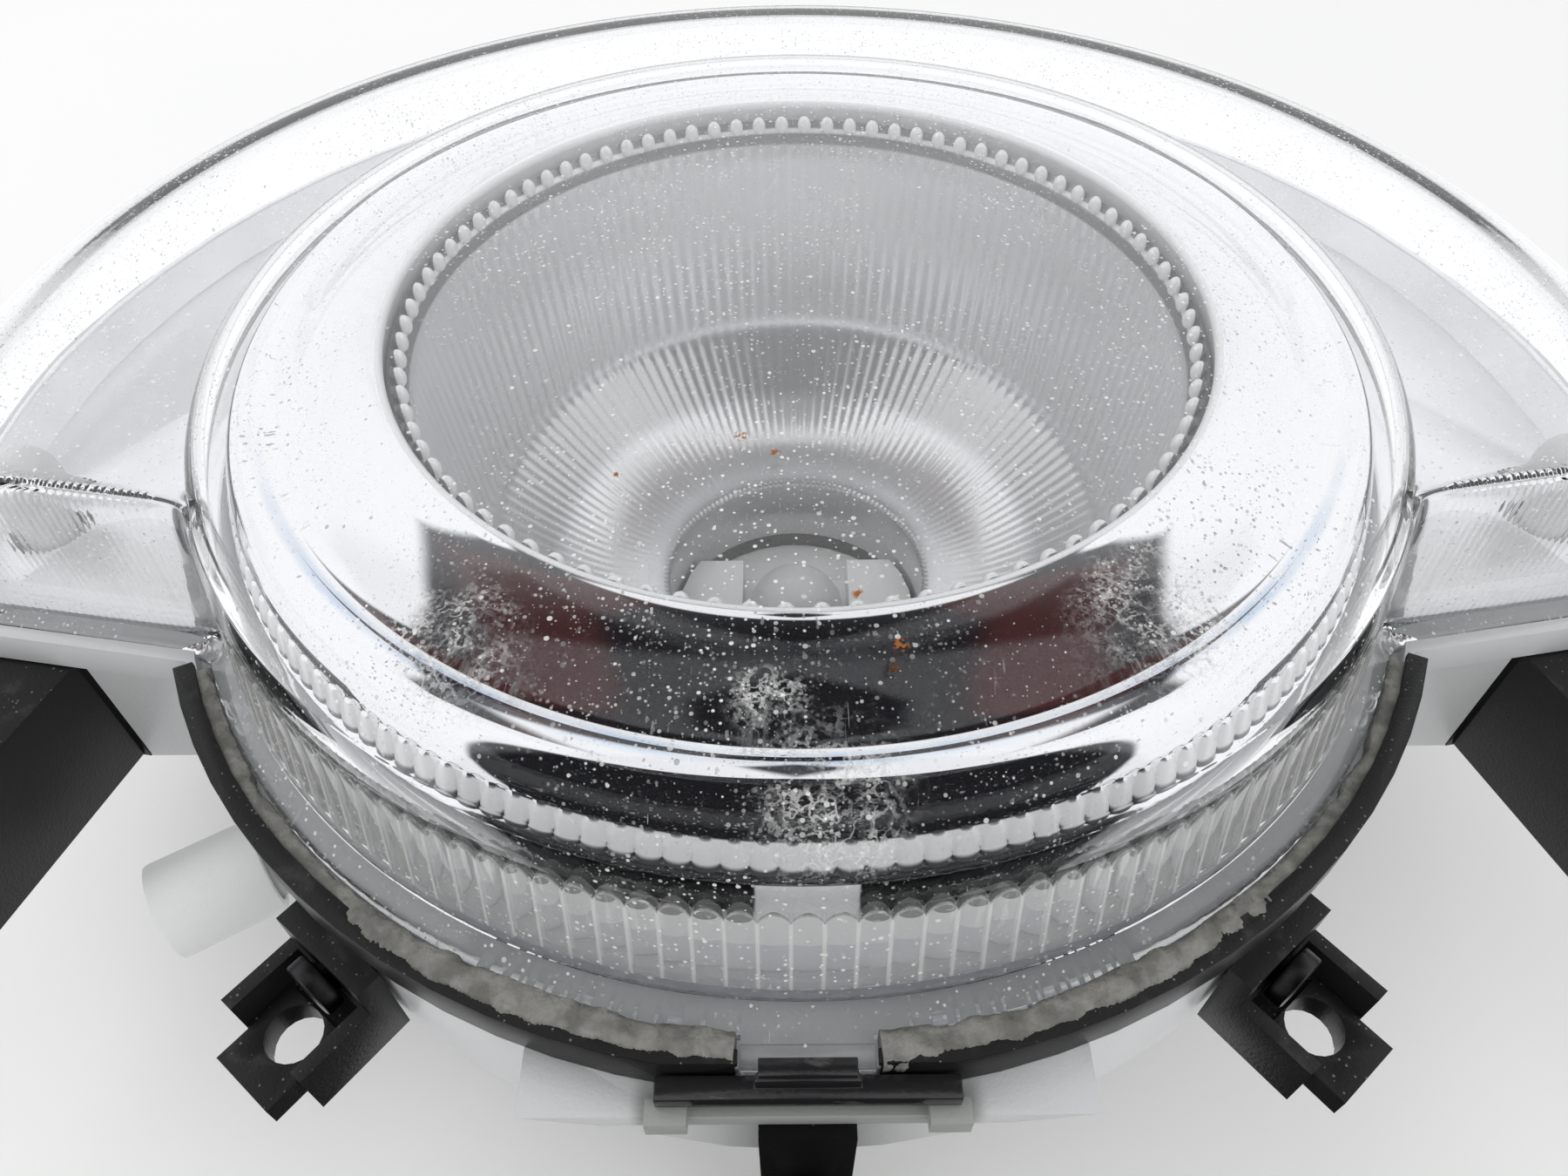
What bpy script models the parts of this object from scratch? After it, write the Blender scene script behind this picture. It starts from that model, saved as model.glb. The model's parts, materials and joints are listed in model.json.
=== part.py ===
# Headlamp unit of a small two-wheeler, lying on its back with the lens facing up.
# The lens axis is vertical. Every height below is a drop from the reflector's rim plane.
import bpy
import bmesh
from math import acos, asin, atan2, cos, degrees, hypot, pi, radians, sin, sqrt, tan
from mathutils import Matrix, Vector

MM = 0.001

# General fits and mesh fineness
GAP = 0.3 * MM
RING_STEPS = 60
ROUND_STEPS = 20
CUT_REACH = 40 * MM
WELD = 0.002 * MM

# Overall heights
RIM_HEIGHT = 92 * MM
SEAT_DROP = 26 * MM

# Front lens, drum
LENS_WALL = 2 * MM
CROWN_RISE = 7 * MM
PLATEAU_RISE = 5.8 * MM
SHOULDER_RUN = 14.6 * MM
SKIRT_TOP_R = 74.6 * MM
SKIRT_TOP_DROP = 9 * MM
SKIRT_FLARE = 2 * MM
SHOULDER_POWER = 2.6
SHOULDER_STEPS = 5
FLANGE_WIDTH = 2.7 * MM
FLANGE_THICKNESS = 2 * MM
TAB_THICKNESS = 1.7 * MM
TAB_HALF_WIDTH = 6.3 * MM
TAB_REACH = 3 * MM

# Front lens, crescent
CRESCENT_WIDTH = 38.4 * MM
CRESCENT_CHORD = 41.9 * MM
CRESCENT_SWEEP = radians(9.7)
CRESCENT_ROOF_DROP = 1 * MM
CRESCENT_ROUND_RUN = 20 * MM
CRESCENT_CHORD_RUN = 1 * MM
CRESCENT_ROUND_DROP = 20 * MM
CRESCENT_FLANGE = 2.5 * MM
WING_FLANGE_THICKNESS = 1.85 * MM
WING_FILLET = 10 * MM
WING_FILLET_STEPS = 4
CRESCENT_ARC_STEPS = 32

# Rear housing
HOUSING_WALL = 2.2 * MM
RIM_WALL = 1.1 * MM
SEAL_SPACE = 1.9 * MM
TRAY_WALL = 1.7 * MM
TRAY_DEPTH = 2.5 * MM
LEDGE_THICKNESS = 4 * MM
WING_LEDGE_STEP = 0.1 * MM
TAB_SLOT_DEPTH = 0.2 * MM
TUB_STRAIGHT = 22 * MM
TUB_DEPTH = 72 * MM
TUB_TAPER = 8.3 * MM
LEDGE_REACH = 0.9 * MM
REAR_HOLE_R = 29 * MM
REAR_COLLAR_WALL = 2.5 * MM
REAR_COLLAR_LENGTH = 4 * MM
PANEL_WIDTH = 17.5 * MM
PANEL_DEPTH = 21.5 * MM
LUG_HALF_WIDTH = 28 * MM
LUG_TAPER = 8 * MM
LUG_REACH = 5 * MM
LUG_HEIGHT = 2.5 * MM
FOOT_HALF_WIDTH = 2 * MM
FOOT_OFFSET = 13.5 * MM
FOOT_REACH = 1.2 * MM

# Rear stays that the unit lies on
STAY_HALF = 6 * MM
STAY_BORE_R = 3.9 * MM
STAY_BORE_DEPTH = 12 * MM
INSERT_BORE_R = 2.5 * MM
INSERT_LENGTH = 9 * MM

# Black band round the rim, and the sealing bead
BAND_WALL = 0.9 * MM
BAND_HEIGHT = 5.6 * MM
BAND_END_GAP = 2 * MM
SEAL_RISE = 1.8 * MM

# Bezel ring
BEZEL_WALL = 1.3 * MM
BEZEL_CLEARANCE = 1.4 * MM
BEZEL_PLATEAU_WIDTH = 14.8 * MM
BEZEL_LIP_RISE = 3.9 * MM
BEZEL_SHOULDER_WIDTH = 4.8 * MM
BEZEL_CREASE_RISE = 1 * MM
BEZEL_STEP = 1.6 * MM
BEZEL_SHOULDER_DROP = 7 * MM
BEZEL_SKIRT_DROP = 10 * MM

# Main reflector
REFLECTOR_WALL = 1.6 * MM
RIM_COVER = 2 * MM
RIM_BEAD_R = 0.9 * MM
RIM_BEAD_DROP = 0.6 * MM
WALL_TAPER = 3 * MM
WALL_FOOT_DROP = 32.6 * MM
BOWL_FLOOR_DROP = 46 * MM
NECK_R = 19.5 * MM
NECK_END_DROP = 58 * MM
BOWL_STEPS = 4

# Aim pivots and adjuster
PIVOT_DROP = 8 * MM
PIVOT_PIN_R = 2.5 * MM
PIVOT_CLEARANCE = 0.3 * MM
PIVOT_POST_OUT = 10 * MM
PIVOT_POST_HALF = 2.5 * MM
PIVOT_POST_DEPTH = 11 * MM
PIVOT_POST_TOP = 5 * MM
EAR_THICKNESS = 3 * MM
EAR_HALF_WIDTH = 7 * MM
EAR_DROP = 11 * MM
SCREW_OUT = 12 * MM
SCREW_R = 2.5 * MM
SCREW_SWING = 0.9 * MM
SCREW_TIP_DROP = 3 * MM
NUT_HALF = 5 * MM
NUT_HEIGHT = 4 * MM
KNOB_R = 8 * MM
KNOB_HEIGHT = 7 * MM
KNOB_LOBES = 6
KNOB_LOBE_R = 1.6 * MM

# Bulb and its holder
HOLDER_CLEARANCE = 0.5 * MM
HOLDER_FLANGE_R = 23 * MM
HOLDER_FLANGE_THICKNESS = 3 * MM
HOLDER_BODY_R = 15 * MM
HOLDER_END_DROP = 80 * MM
HOLDER_SINK = 9 * MM
NOTCH_HALF = 8.6 * MM
NOTCH_DEPTH = 5 * MM
PRONG_HALF_WIDTH = 10.5 * MM
BULB_BASE_R = 8 * MM
BULB_BASE_LENGTH = 14 * MM
BULB_FIT = 0.3 * MM
GLASS_R = 6.8 * MM
GLASS_WALL = 0.8 * MM
GLASS_TIP_DROP = 49 * MM
CAP_WALL = 0.6 * MM
CAP_LENGTH = 2 * MM
FILAMENT_R = 0.35 * MM
FILAMENT_HALF = 2.5 * MM
FILAMENT_HEIGHT = 6 * MM
BLADE_HALF_WIDTH = 3 * MM
BLADE_THICKNESS = 0.8 * MM
BLADE_LENGTH = 8 * MM
BLADE_RING_R = 8 * MM
BLADE_COUNT = 3
SEAL_RING_HEIGHT = 2.5 * MM
SEAL_RING_OUTER_R = 26 * MM

# Rear boot
BOOT_WALL = 2 * MM
BOOT_LIP_R = 19.5 * MM
BOOT_LENGTH = 9 * MM

# Side lamps in the wings
SIDE_REFLECTOR_WALL = 1.3 * MM
SIDE_INNER_STEP = 0.6 * MM
SIDE_INNER_RISE = 13 * MM
SIDE_OUTER_RISE = 6 * MM
SIDE_SLOPE = 3 * MM
SIDE_END_DEGREES = 20
SIDE_JOINT_DEGREES = 0.6
SIDE_STEPS = 18
SIDE_BULB_Y = -8 * MM
SIDE_BODY_CLEARANCE = 9.2 * MM
SIDE_BODY_FAR_Y = 14 * MM
SIDE_BODY_DEPTH = 21.5 * MM
FLARE_REACH = 33 * MM
FLARE_RUN = 11.5 * MM
FLARE_OUTER_STEP = 6 * MM
FLARE_ROOT = 14 * MM
FLARE_INSET = 0.4 * MM
SIDE_BULB_INSET = 13 * MM
SIDE_SOCKET_R = 4.8 * MM
SIDE_SOCKET_CLEARANCE = 0.3 * MM
SIDE_SOCKET_FLANGE = 2 * MM
SIDE_SOCKET_FLANGE_THICKNESS = 2.5 * MM
SIDE_SOCKET_BODY = 8 * MM
SIDE_BULB_R = 4.2 * MM
SIDE_BULB_RISE = 15 * MM
SIDE_BLADE_HALF = 2 * MM
SIDE_BLADE_SPACING = 2.6 * MM
SIDE_BLADE_LENGTH = 7 * MM

# Lens clip
CLIP_HALF_WIDTH = 14.5 * MM
CLIP_THICKNESS = 2.3 * MM
CLIP_HEIGHT = 2 * MM
CLIP_DROP = 24.9 * MM
BARB_HALF_WIDTH = 5 * MM
BARB_REACH = 1 * MM
BARB_HEIGHT = 0.9 * MM

# Mounting brackets, leg and their screws
BRACKET_DEGREES = 38.5
BRACKET_DROP = 40 * MM
BRACKET_SCREW_DROP = 38 * MM
BRACKET_HALF_WIDTH = 7.2 * MM
BRACKET_BACK = 3 * MM
BRACKET_BACK_HEIGHT = 13 * MM
BRACKET_PLATE = 3 * MM
RAIL_THICKNESS = 1.8 * MM
RAIL_HEIGHT = 8 * MM
RAIL_LENGTH = 9.2 * MM
TONGUE_HALF_WIDTH = 4.6 * MM
TONGUE_LENGTH = 13.3 * MM
TONGUE_STEP = 0.8 * MM
BRACKET_HOLE_R = 3.3 * MM
BRACKET_HOLE_OUT = 6.4 * MM
FIX_SCREW_R = 1.9 * MM
FIX_HEAD_R = 3.6 * MM
FIX_HEAD_HEIGHT = 2.2 * MM
FIX_CLEARANCE = 0.35 * MM
FIX_LENGTH = 8 * MM
LEG_HALF_WIDTH = 4.8 * MM
LEG_THICKNESS = 4 * MM
LEG_HOLE_R = 3.3 * MM
LEG_HOLE_HEIGHT = 12 * MM
LEG_SCREW_DROP = 48 * MM

# Breather stub at the lower left
BREATHER_DEGREES = 211
BREATHER_DROP = 56 * MM
BREATHER_R = 5 * MM
BREATHER_WALL = 1.5 * MM
BREATHER_REACH = 10.7 * MM
BREATHER_CAP_LENGTH = 14 * MM
BREATHER_CAP_END = 6 * MM

# Values that follow from the sizes above
PLATEAU_R = SKIRT_TOP_R - SHOULDER_RUN
SKIRT_R = SKIRT_TOP_R + SKIRT_FLARE
FLANGE_R = SKIRT_R + FLANGE_WIDTH
CRESCENT_R = SKIRT_R + CRESCENT_WIDTH
FLANGE_TOP_DROP = SEAT_DROP - FLANGE_THICKNESS
WING_FLANGE_TOP_DROP = SEAT_DROP - WING_FLANGE_THICKNESS
TAB_TOP_DROP = SEAT_DROP - TAB_THICKNESS
RIM_INNER_R = FLANGE_R + SEAL_SPACE
TUB_R = RIM_INNER_R + RIM_WALL
TUB_FLOOR_R = TUB_R - TUB_TAPER
BREATHER_END_R = TUB_R + BREATHER_REACH
FLOOR_DROP = TUB_DEPTH - HOUSING_WALL
STAY_PLACE = (TUB_R + GAP) / sqrt(2) + STAY_HALF
BEZEL_SKIRT_R = SKIRT_TOP_R - LENS_WALL - BEZEL_CLEARANCE
BEZEL_SHOULDER_R = BEZEL_SKIRT_R - BEZEL_STEP
BEZEL_CREASE_R = BEZEL_SHOULDER_R - BEZEL_SHOULDER_WIDTH
BEZEL_LIP_R = BEZEL_CREASE_R - BEZEL_PLATEAU_WIDTH
LEDGE_R = BEZEL_SKIRT_R - BEZEL_WALL - LEDGE_REACH
REFLECTOR_RIM_R = BEZEL_LIP_R - RIM_COVER
WALL_FOOT_R = REFLECTOR_RIM_R - WALL_TAPER
PIVOT_POST_X = REFLECTOR_RIM_R + PIVOT_POST_OUT
SCREW_Y = -REFLECTOR_RIM_R - SCREW_OUT
SIDE_INNER_R = SKIRT_R - SIDE_INNER_STEP
SIDE_BORE_R = SIDE_SOCKET_R + SIDE_SOCKET_CLEARANCE
SIDE_BULB_X = CRESCENT_R - SIDE_BULB_INSET
SIDE_BODY_INNER_X = TUB_R + SIDE_BODY_CLEARANCE
PANEL_OUTER_X = SIDE_BODY_INNER_X
PANEL_INNER_X = PANEL_OUTER_X - PANEL_WIDTH
LEDGE_DROP = SEAT_DROP + GAP
TRAY_R = CRESCENT_R + CRESCENT_FLANGE + GAP + TRAY_WALL
TRAY_CHORD = CRESCENT_CHORD + CRESCENT_FLANGE + GAP + TRAY_WALL
PANEL_NEAR = PANEL_OUTER_X * tan(CRESCENT_SWEEP) + TRAY_WALL / 2 - TRAY_CHORD
WING_LEDGE_DROP = LEDGE_DROP + WING_LEDGE_STEP
TRAY_UNDER_DROP = LEDGE_DROP + TRAY_DEPTH
TUB_STRAIGHT_DROP = TRAY_UNDER_DROP + TUB_STRAIGHT
CLIP_BOTTOM_DROP = CLIP_DROP + CLIP_HEIGHT
BAND_TOP_DROP = FLANGE_TOP_DROP - GAP - BAND_WALL
LUG_TOP_DROP = BAND_TOP_DROP + BAND_HEIGHT + GAP
TAB_END = FLANGE_R + TAB_REACH
CLIP_INNER = TAB_END + GAP
CLIP_OUTER = CLIP_INNER + CLIP_THICKNESS
LUG_OUTER = CLIP_OUTER + GAP
LEG_INNER = TUB_R + GAP
NEAR_REACH = max(LUG_OUTER + FOOT_REACH, LEG_INNER + LEG_THICKNESS + GAP + FIX_HEAD_HEIGHT)
AXIS_Y = (NEAR_REACH - TRAY_R) / 2

FINISHES = {
    "clear_plastic": ((0.90, 0.92, 0.94), 0.05, 0.0, 1.0),
    "chrome": ((0.86, 0.86, 0.87), 0.08, 1.0, 0.0),
    "pale_plastic": ((0.66, 0.66, 0.66), 0.45, 0.0, 0.0),
    "white_plastic": ((0.85, 0.85, 0.84), 0.4, 0.0, 0.0),
    "black_plastic": ((0.025, 0.024, 0.024), 0.45, 0.0, 0.0),
    "black_metal": ((0.02, 0.02, 0.02), 0.25, 0.6, 0.0),
    "butyl": ((0.16, 0.15, 0.13), 0.7, 0.0, 0.0),
    "rubber": ((0.03, 0.03, 0.03), 0.8, 0.0, 0.0),
    "steel": ((0.55, 0.55, 0.56), 0.3, 1.0, 0.0),
    "brass": ((0.72, 0.56, 0.28), 0.3, 1.0, 0.0),
    "grey_paint": ((0.35, 0.35, 0.36), 0.5, 0.2, 0.0),
    "glass": ((0.95, 0.96, 0.96), 0.02, 0.0, 1.0),
}


# Scene and object helpers
def clear_scene():
    for item in list(bpy.data.objects):
        bpy.data.objects.remove(item, do_unlink=True)


def material(name, finish):
    colour, rough, metallic, transmission = FINISHES[finish]
    made = bpy.data.materials.new(name + "_finish")
    made.use_nodes = True
    shader = made.node_tree.nodes["Principled BSDF"]
    shader.inputs["Base Color"].default_value = (*colour, 1)
    shader.inputs["Roughness"].default_value = rough
    shader.inputs["Metallic"].default_value = metallic
    shader.inputs["Transmission Weight"].default_value = transmission
    return made


def solid(verts, faces):
    """A loose object with outward faces, used as a piece or as a cutter."""
    mesh = bpy.data.meshes.new("shape")
    mesh.from_pydata([tuple(v) for v in verts], [], faces)
    edit = bmesh.new()
    edit.from_mesh(mesh)
    bmesh.ops.recalc_face_normals(edit, faces=edit.faces)
    edit.to_mesh(mesh)
    edit.free()
    made = bpy.data.objects.new("shape", mesh)
    bpy.context.scene.collection.objects.link(made)
    return made


def boolean(target, tool, operation):
    """Joins or cuts target with tool, and deletes the tool."""
    step = target.modifiers.new("step", "BOOLEAN")
    step.operation = operation
    step.solver = "EXACT"
    step.object = tool
    graph = bpy.context.evaluated_depsgraph_get()
    result = bpy.data.meshes.new_from_object(target.evaluated_get(graph))
    edit = bmesh.new()
    edit.from_mesh(result)
    bmesh.ops.remove_doubles(edit, verts=edit.verts, dist=WELD)
    bmesh.ops.dissolve_degenerate(edit, edges=edit.edges, dist=WELD)
    edit.to_mesh(result)
    edit.free()
    target.modifiers.clear()
    target.data = result
    bpy.data.objects.remove(tool, do_unlink=True)
    return target


def join(target, *tools):
    for tool in tools:
        boolean(target, tool, "UNION")
    return target


def cut(target, *tools):
    for tool in tools:
        boolean(target, tool, "DIFFERENCE")
    return target


def empty_at(name, place, parent):
    made = bpy.data.objects.new(name, None)
    bpy.context.scene.collection.objects.link(made)
    made.parent = parent
    made.location = place
    return made


def finish_piece(name, shape, finish, axis_empty):
    """Names a shape, moves its origin to its joint's axis and gives it its own finish."""
    shape.name = name
    shape.data.name = name
    shape.data.transform(Matrix.Translation(-Vector(axis_empty.location)))
    if axis_empty.parent is None:
        shape.data.transform(Matrix.Translation(Vector(axis_empty.location)))
    shape.parent = axis_empty
    shape.data.materials.clear()
    shape.data.materials.append(material(name, finish))
    shape.data.shade_smooth()
    shape.data.set_sharp_from_angle(angle=radians(30))
    return shape


# Shape helpers
def height(drop):
    return RIM_HEIGHT - drop


def polar(r, angle, z):
    return Vector((r * cos(angle), r * sin(angle), z))


def lathe(profile, start=0, sweep=360, steps=RING_STEPS):
    """A closed outline of (radius, height) points turned about the lens axis."""
    whole = sweep == 360
    count = steps if whole else steps + 1
    verts = []
    columns = []
    for r, z in profile:
        if r == 0 and whole:
            verts.append(Vector((0, 0, z)))
            columns.append([len(verts) - 1] * count)
            continue
        first = len(verts)
        for i in range(count):
            verts.append(polar(r, radians(start + sweep * i / steps), z))
        columns.append(list(range(first, first + count)))
    faces = []
    for a, b in zip(columns, columns[1:] + columns[:1]):
        for i in range(steps):
            j = (i + 1) % count
            corners = list(dict.fromkeys((a[i], a[j], b[j], b[i])))
            if len(corners) > 2:
                faces.append(corners)
    if not whole:
        faces.append([column[0] for column in columns])
        faces.append([column[-1] for column in columns])
    return solid(verts, faces)


def stack(levels):
    """A solid through outlines of equal count, one above the other, closed at both ends."""
    count = len(levels[0])
    verts = [point for level in levels for point in level]
    faces = [list(range(count)), list(range(len(verts) - count, len(verts)))]
    for k in range(len(levels) - 1):
        for i in range(count):
            j = (i + 1) % count
            faces.append([k * count + i, k * count + j, (k + 1) * count + j, (k + 1) * count + i])
    return solid(verts, faces)


def block(low, high):
    x0, y0, z0 = low
    x1, y1, z1 = high
    plan = [(x0, y0), (x1, y0), (x1, y1), (x0, y1)]
    return stack([[Vector((x, y, z)) for x, y in plan] for z in (z0, z1)])


def rod(start, end, radius, steps=ROUND_STEPS):
    """A straight round bar between two points."""
    along = (Vector(end) - Vector(start)).normalized()
    side = along.orthogonal().normalized()
    other = along.cross(side)
    rings = []
    for centre in (Vector(start), Vector(end)):
        ring = [2 * pi * (i + 0.5) / steps for i in range(steps)]
        rings.append([centre + radius * (cos(a) * side + sin(a) * other) for a in ring])
    return stack(rings)


def bent_wire(path, radius, steps=8):
    """A round wire through points in an upright plane, with mitred corners."""
    level = Vector((0, 1, 0))
    ways = [(b - a).normalized() for a, b in zip(path, path[1:])]
    rings = []
    for point, arrive, leave in zip(path, ways[:1] + ways, ways + ways[-1:]):
        along = (arrive + leave).normalized()
        across = along.cross(level) / along.dot(leave)
        ring = [2 * pi * i / steps for i in range(steps)]
        rings.append([point + radius * (cos(a) * level + sin(a) * across) for a in ring])
    return stack(rings)


def turned(shape, degrees_about_axis):
    shape.data.transform(Matrix.Rotation(radians(degrees_about_axis), 4, "Z"))
    return shape


def moved(shape, offset):
    shape.data.transform(Matrix.Translation(Vector(offset)))
    return shape


def d_outline(radius, chord, drop):
    """A circle with its near side cut off along two swept lines, and rounded corners."""
    fillet = WING_FILLET
    line = Vector((cos(CRESCENT_SWEEP), sin(CRESCENT_SWEEP)))
    off_line = Vector((line.y, -line.x))
    off = chord * line.x - fillet
    corner = sqrt((radius - fillet) ** 2 - off ** 2) * line + off * off_line
    meet = atan2(corner.y, corner.x)
    start = CRESCENT_SWEEP - pi / 2
    points = []
    for i in range(WING_FILLET_STEPS + 1):
        angle = start + (meet - start) * i / WING_FILLET_STEPS
        points.append((corner.x + fillet * cos(angle), corner.y + fillet * sin(angle)))
    for i in range(1, CRESCENT_ARC_STEPS):
        angle = meet + (pi - 2 * meet) * i / CRESCENT_ARC_STEPS
        points.append((radius * cos(angle), radius * sin(angle)))
    points += [(-x, y) for x, y in reversed(points[:WING_FILLET_STEPS + 1])] + [(0, -chord)]
    return [Vector((x, y, height(drop))) for x, y in points]


# Front lens
def drum_profile(inset, foot_drop):
    """Half outline of the drum, seen from the side, with its wall inset by some thickness."""
    run = SKIRT_TOP_R - PLATEAU_R - inset
    rise = PLATEAU_RISE + SKIRT_TOP_DROP - inset
    points = [(0, height(inset - CROWN_RISE))]
    for i in range(SHOULDER_STEPS + 1):
        angle = pi / 2 * i / SHOULDER_STEPS
        out = run * sin(angle) ** (2 / SHOULDER_POWER)
        up = rise * max(cos(angle), 0) ** (2 / SHOULDER_POWER)
        points.append((PLATEAU_R + out, height(SKIRT_TOP_DROP) + up))
    points[-1] = (SKIRT_TOP_R - inset, height(SKIRT_TOP_DROP))
    points.append((SKIRT_R - inset, height(foot_drop)))
    points.append((0, height(foot_drop)))
    return points


def crescent_levels(inset, foot_drop):
    """Outlines of the crescent from its foot to its roof."""
    levels = [d_outline(CRESCENT_R - inset, CRESCENT_CHORD - inset, foot_drop)]
    for i in range(SHOULDER_STEPS):
        angle = pi / 2 * i / (SHOULDER_STEPS - 1)
        inward = 1 - max(cos(angle), 0) ** (2 / SHOULDER_POWER)
        upward = sin(angle) ** (2 / SHOULDER_POWER)
        radius = CRESCENT_R - inset - CRESCENT_ROUND_RUN * inward
        chord = CRESCENT_CHORD - inset - CRESCENT_CHORD_RUN * inward
        low = CRESCENT_ROOF_DROP + CRESCENT_ROUND_DROP
        levels.append(d_outline(radius, chord, low - (CRESCENT_ROUND_DROP - inset) * upward))
    return levels


def front_lens():
    deep = SEAT_DROP + LENS_WALL
    tab = block((-TAB_HALF_WIDTH, -TAB_END, height(deep)), (TAB_HALF_WIDTH, -SKIRT_R, height(TAB_TOP_DROP)))
    flange = rod((0, 0, height(deep + LENS_WALL)), (0, 0, height(FLANGE_TOP_DROP)), FLANGE_R, RING_STEPS)
    wing_flange = stack([d_outline(CRESCENT_R + CRESCENT_FLANGE, CRESCENT_CHORD + CRESCENT_FLANGE, drop)
                         for drop in (deep + 2 * LENS_WALL, WING_FLANGE_TOP_DROP)])
    lens = stack(crescent_levels(0, deep + 3 * LENS_WALL))
    join(lens, lathe(drum_profile(0, deep + 4 * LENS_WALL)), flange, wing_flange, tab)
    below = block((-TRAY_R - CUT_REACH, -TRAY_R - CUT_REACH, height(deep + CUT_REACH)),
                  (TRAY_R + CUT_REACH, TRAY_R + CUT_REACH, height(SEAT_DROP)))
    hollow = stack(crescent_levels(LENS_WALL, deep + 5 * LENS_WALL))
    return cut(lens, hollow, lathe(drum_profile(LENS_WALL, deep + 6 * LENS_WALL)), below)


# Rear housing
def housing_lug():
    outer = LUG_OUTER
    levels = []
    for drop, half in ((LUG_TOP_DROP + LUG_HEIGHT, LUG_HALF_WIDTH - LUG_TAPER),
                       (LUG_TOP_DROP, LUG_HALF_WIDTH)):
        plan = ((-half, -outer), (half, -outer), (half, -TUB_R + LUG_REACH), (-half, -TUB_R + LUG_REACH))
        levels.append([Vector((x, y, height(drop))) for x, y in plan])
    lug = stack(levels)
    for side in (-1, 1):
        centre = side * FOOT_OFFSET
        low = height(LUG_TOP_DROP + LUG_HEIGHT / 2)
        join(lug, block((centre - FOOT_HALF_WIDTH, -LUG_OUTER - FOOT_REACH, low),
                        (centre + FOOT_HALF_WIDTH, -LUG_OUTER + FOOT_REACH, height(CLIP_BOTTOM_DROP + GAP))))
    return lug


def side_panel(side):
    low_x, high_x = sorted((side * PANEL_INNER_X, side * PANEL_OUTER_X))
    return block((low_x, PANEL_NEAR, height(TRAY_UNDER_DROP + PANEL_DEPTH)),
                 (high_x, PANEL_NEAR + HOUSING_WALL, height(TRAY_UNDER_DROP - HOUSING_WALL / 2)))


def breather_stub(radius, start_r, end_r):
    angle = radians(BREATHER_DEGREES)
    z = height(BREATHER_DROP)
    return rod(polar(start_r, angle, z), polar(end_r, angle, z), radius)


def radial_screw_hole(angle_degrees, drop, radius):
    angle = radians(angle_degrees)
    z = height(drop)
    return rod(polar(TUB_R - CUT_REACH / 2, angle, z), polar(TUB_R + CUT_REACH, angle, z), radius)


def tub_wall_radius(drop):
    """Outer radius of the tub at some depth, on its straight part or its taper."""
    if drop <= TUB_STRAIGHT_DROP:
        return TUB_R
    share = (drop - TUB_STRAIGHT_DROP) / (TUB_DEPTH - TUB_STRAIGHT_DROP)
    return TUB_R + share * (TUB_FLOOR_R - TUB_R)


def tub_outside():
    return lathe([(0, height(FLANGE_TOP_DROP - TRAY_WALL)), (TUB_R, height(FLANGE_TOP_DROP - TRAY_WALL)),
                  (TUB_R, height(TUB_STRAIGHT_DROP)),
                  (TUB_FLOOR_R, height(TUB_DEPTH)), (0, height(TUB_DEPTH))])


def tub_inside():
    """The hollow of the tub, with a ledge that the lens and the bezel stand on."""
    inner_r = TUB_R - HOUSING_WALL
    over = height(FLANGE_TOP_DROP) + CUT_REACH
    under = height(LEDGE_DROP + LEDGE_THICKNESS)
    return lathe([(0, over), (RIM_INNER_R, over),
                  (RIM_INNER_R, height(LEDGE_DROP)), (LEDGE_R, height(LEDGE_DROP)),
                  (LEDGE_R, under), (inner_r, under), (inner_r, height(TUB_STRAIGHT_DROP)),
                  (TUB_FLOOR_R - HOUSING_WALL, height(FLOOR_DROP)), (0, height(FLOOR_DROP))])


def wing_space():
    """The hollow of the crescent tray, whose floor carries the lens flange."""
    recess = (TRAY_R - TRAY_WALL, TRAY_CHORD - TRAY_WALL)
    return stack([d_outline(*recess, WING_LEDGE_DROP), d_outline(*recess, FLANGE_TOP_DROP - CUT_REACH)])


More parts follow.
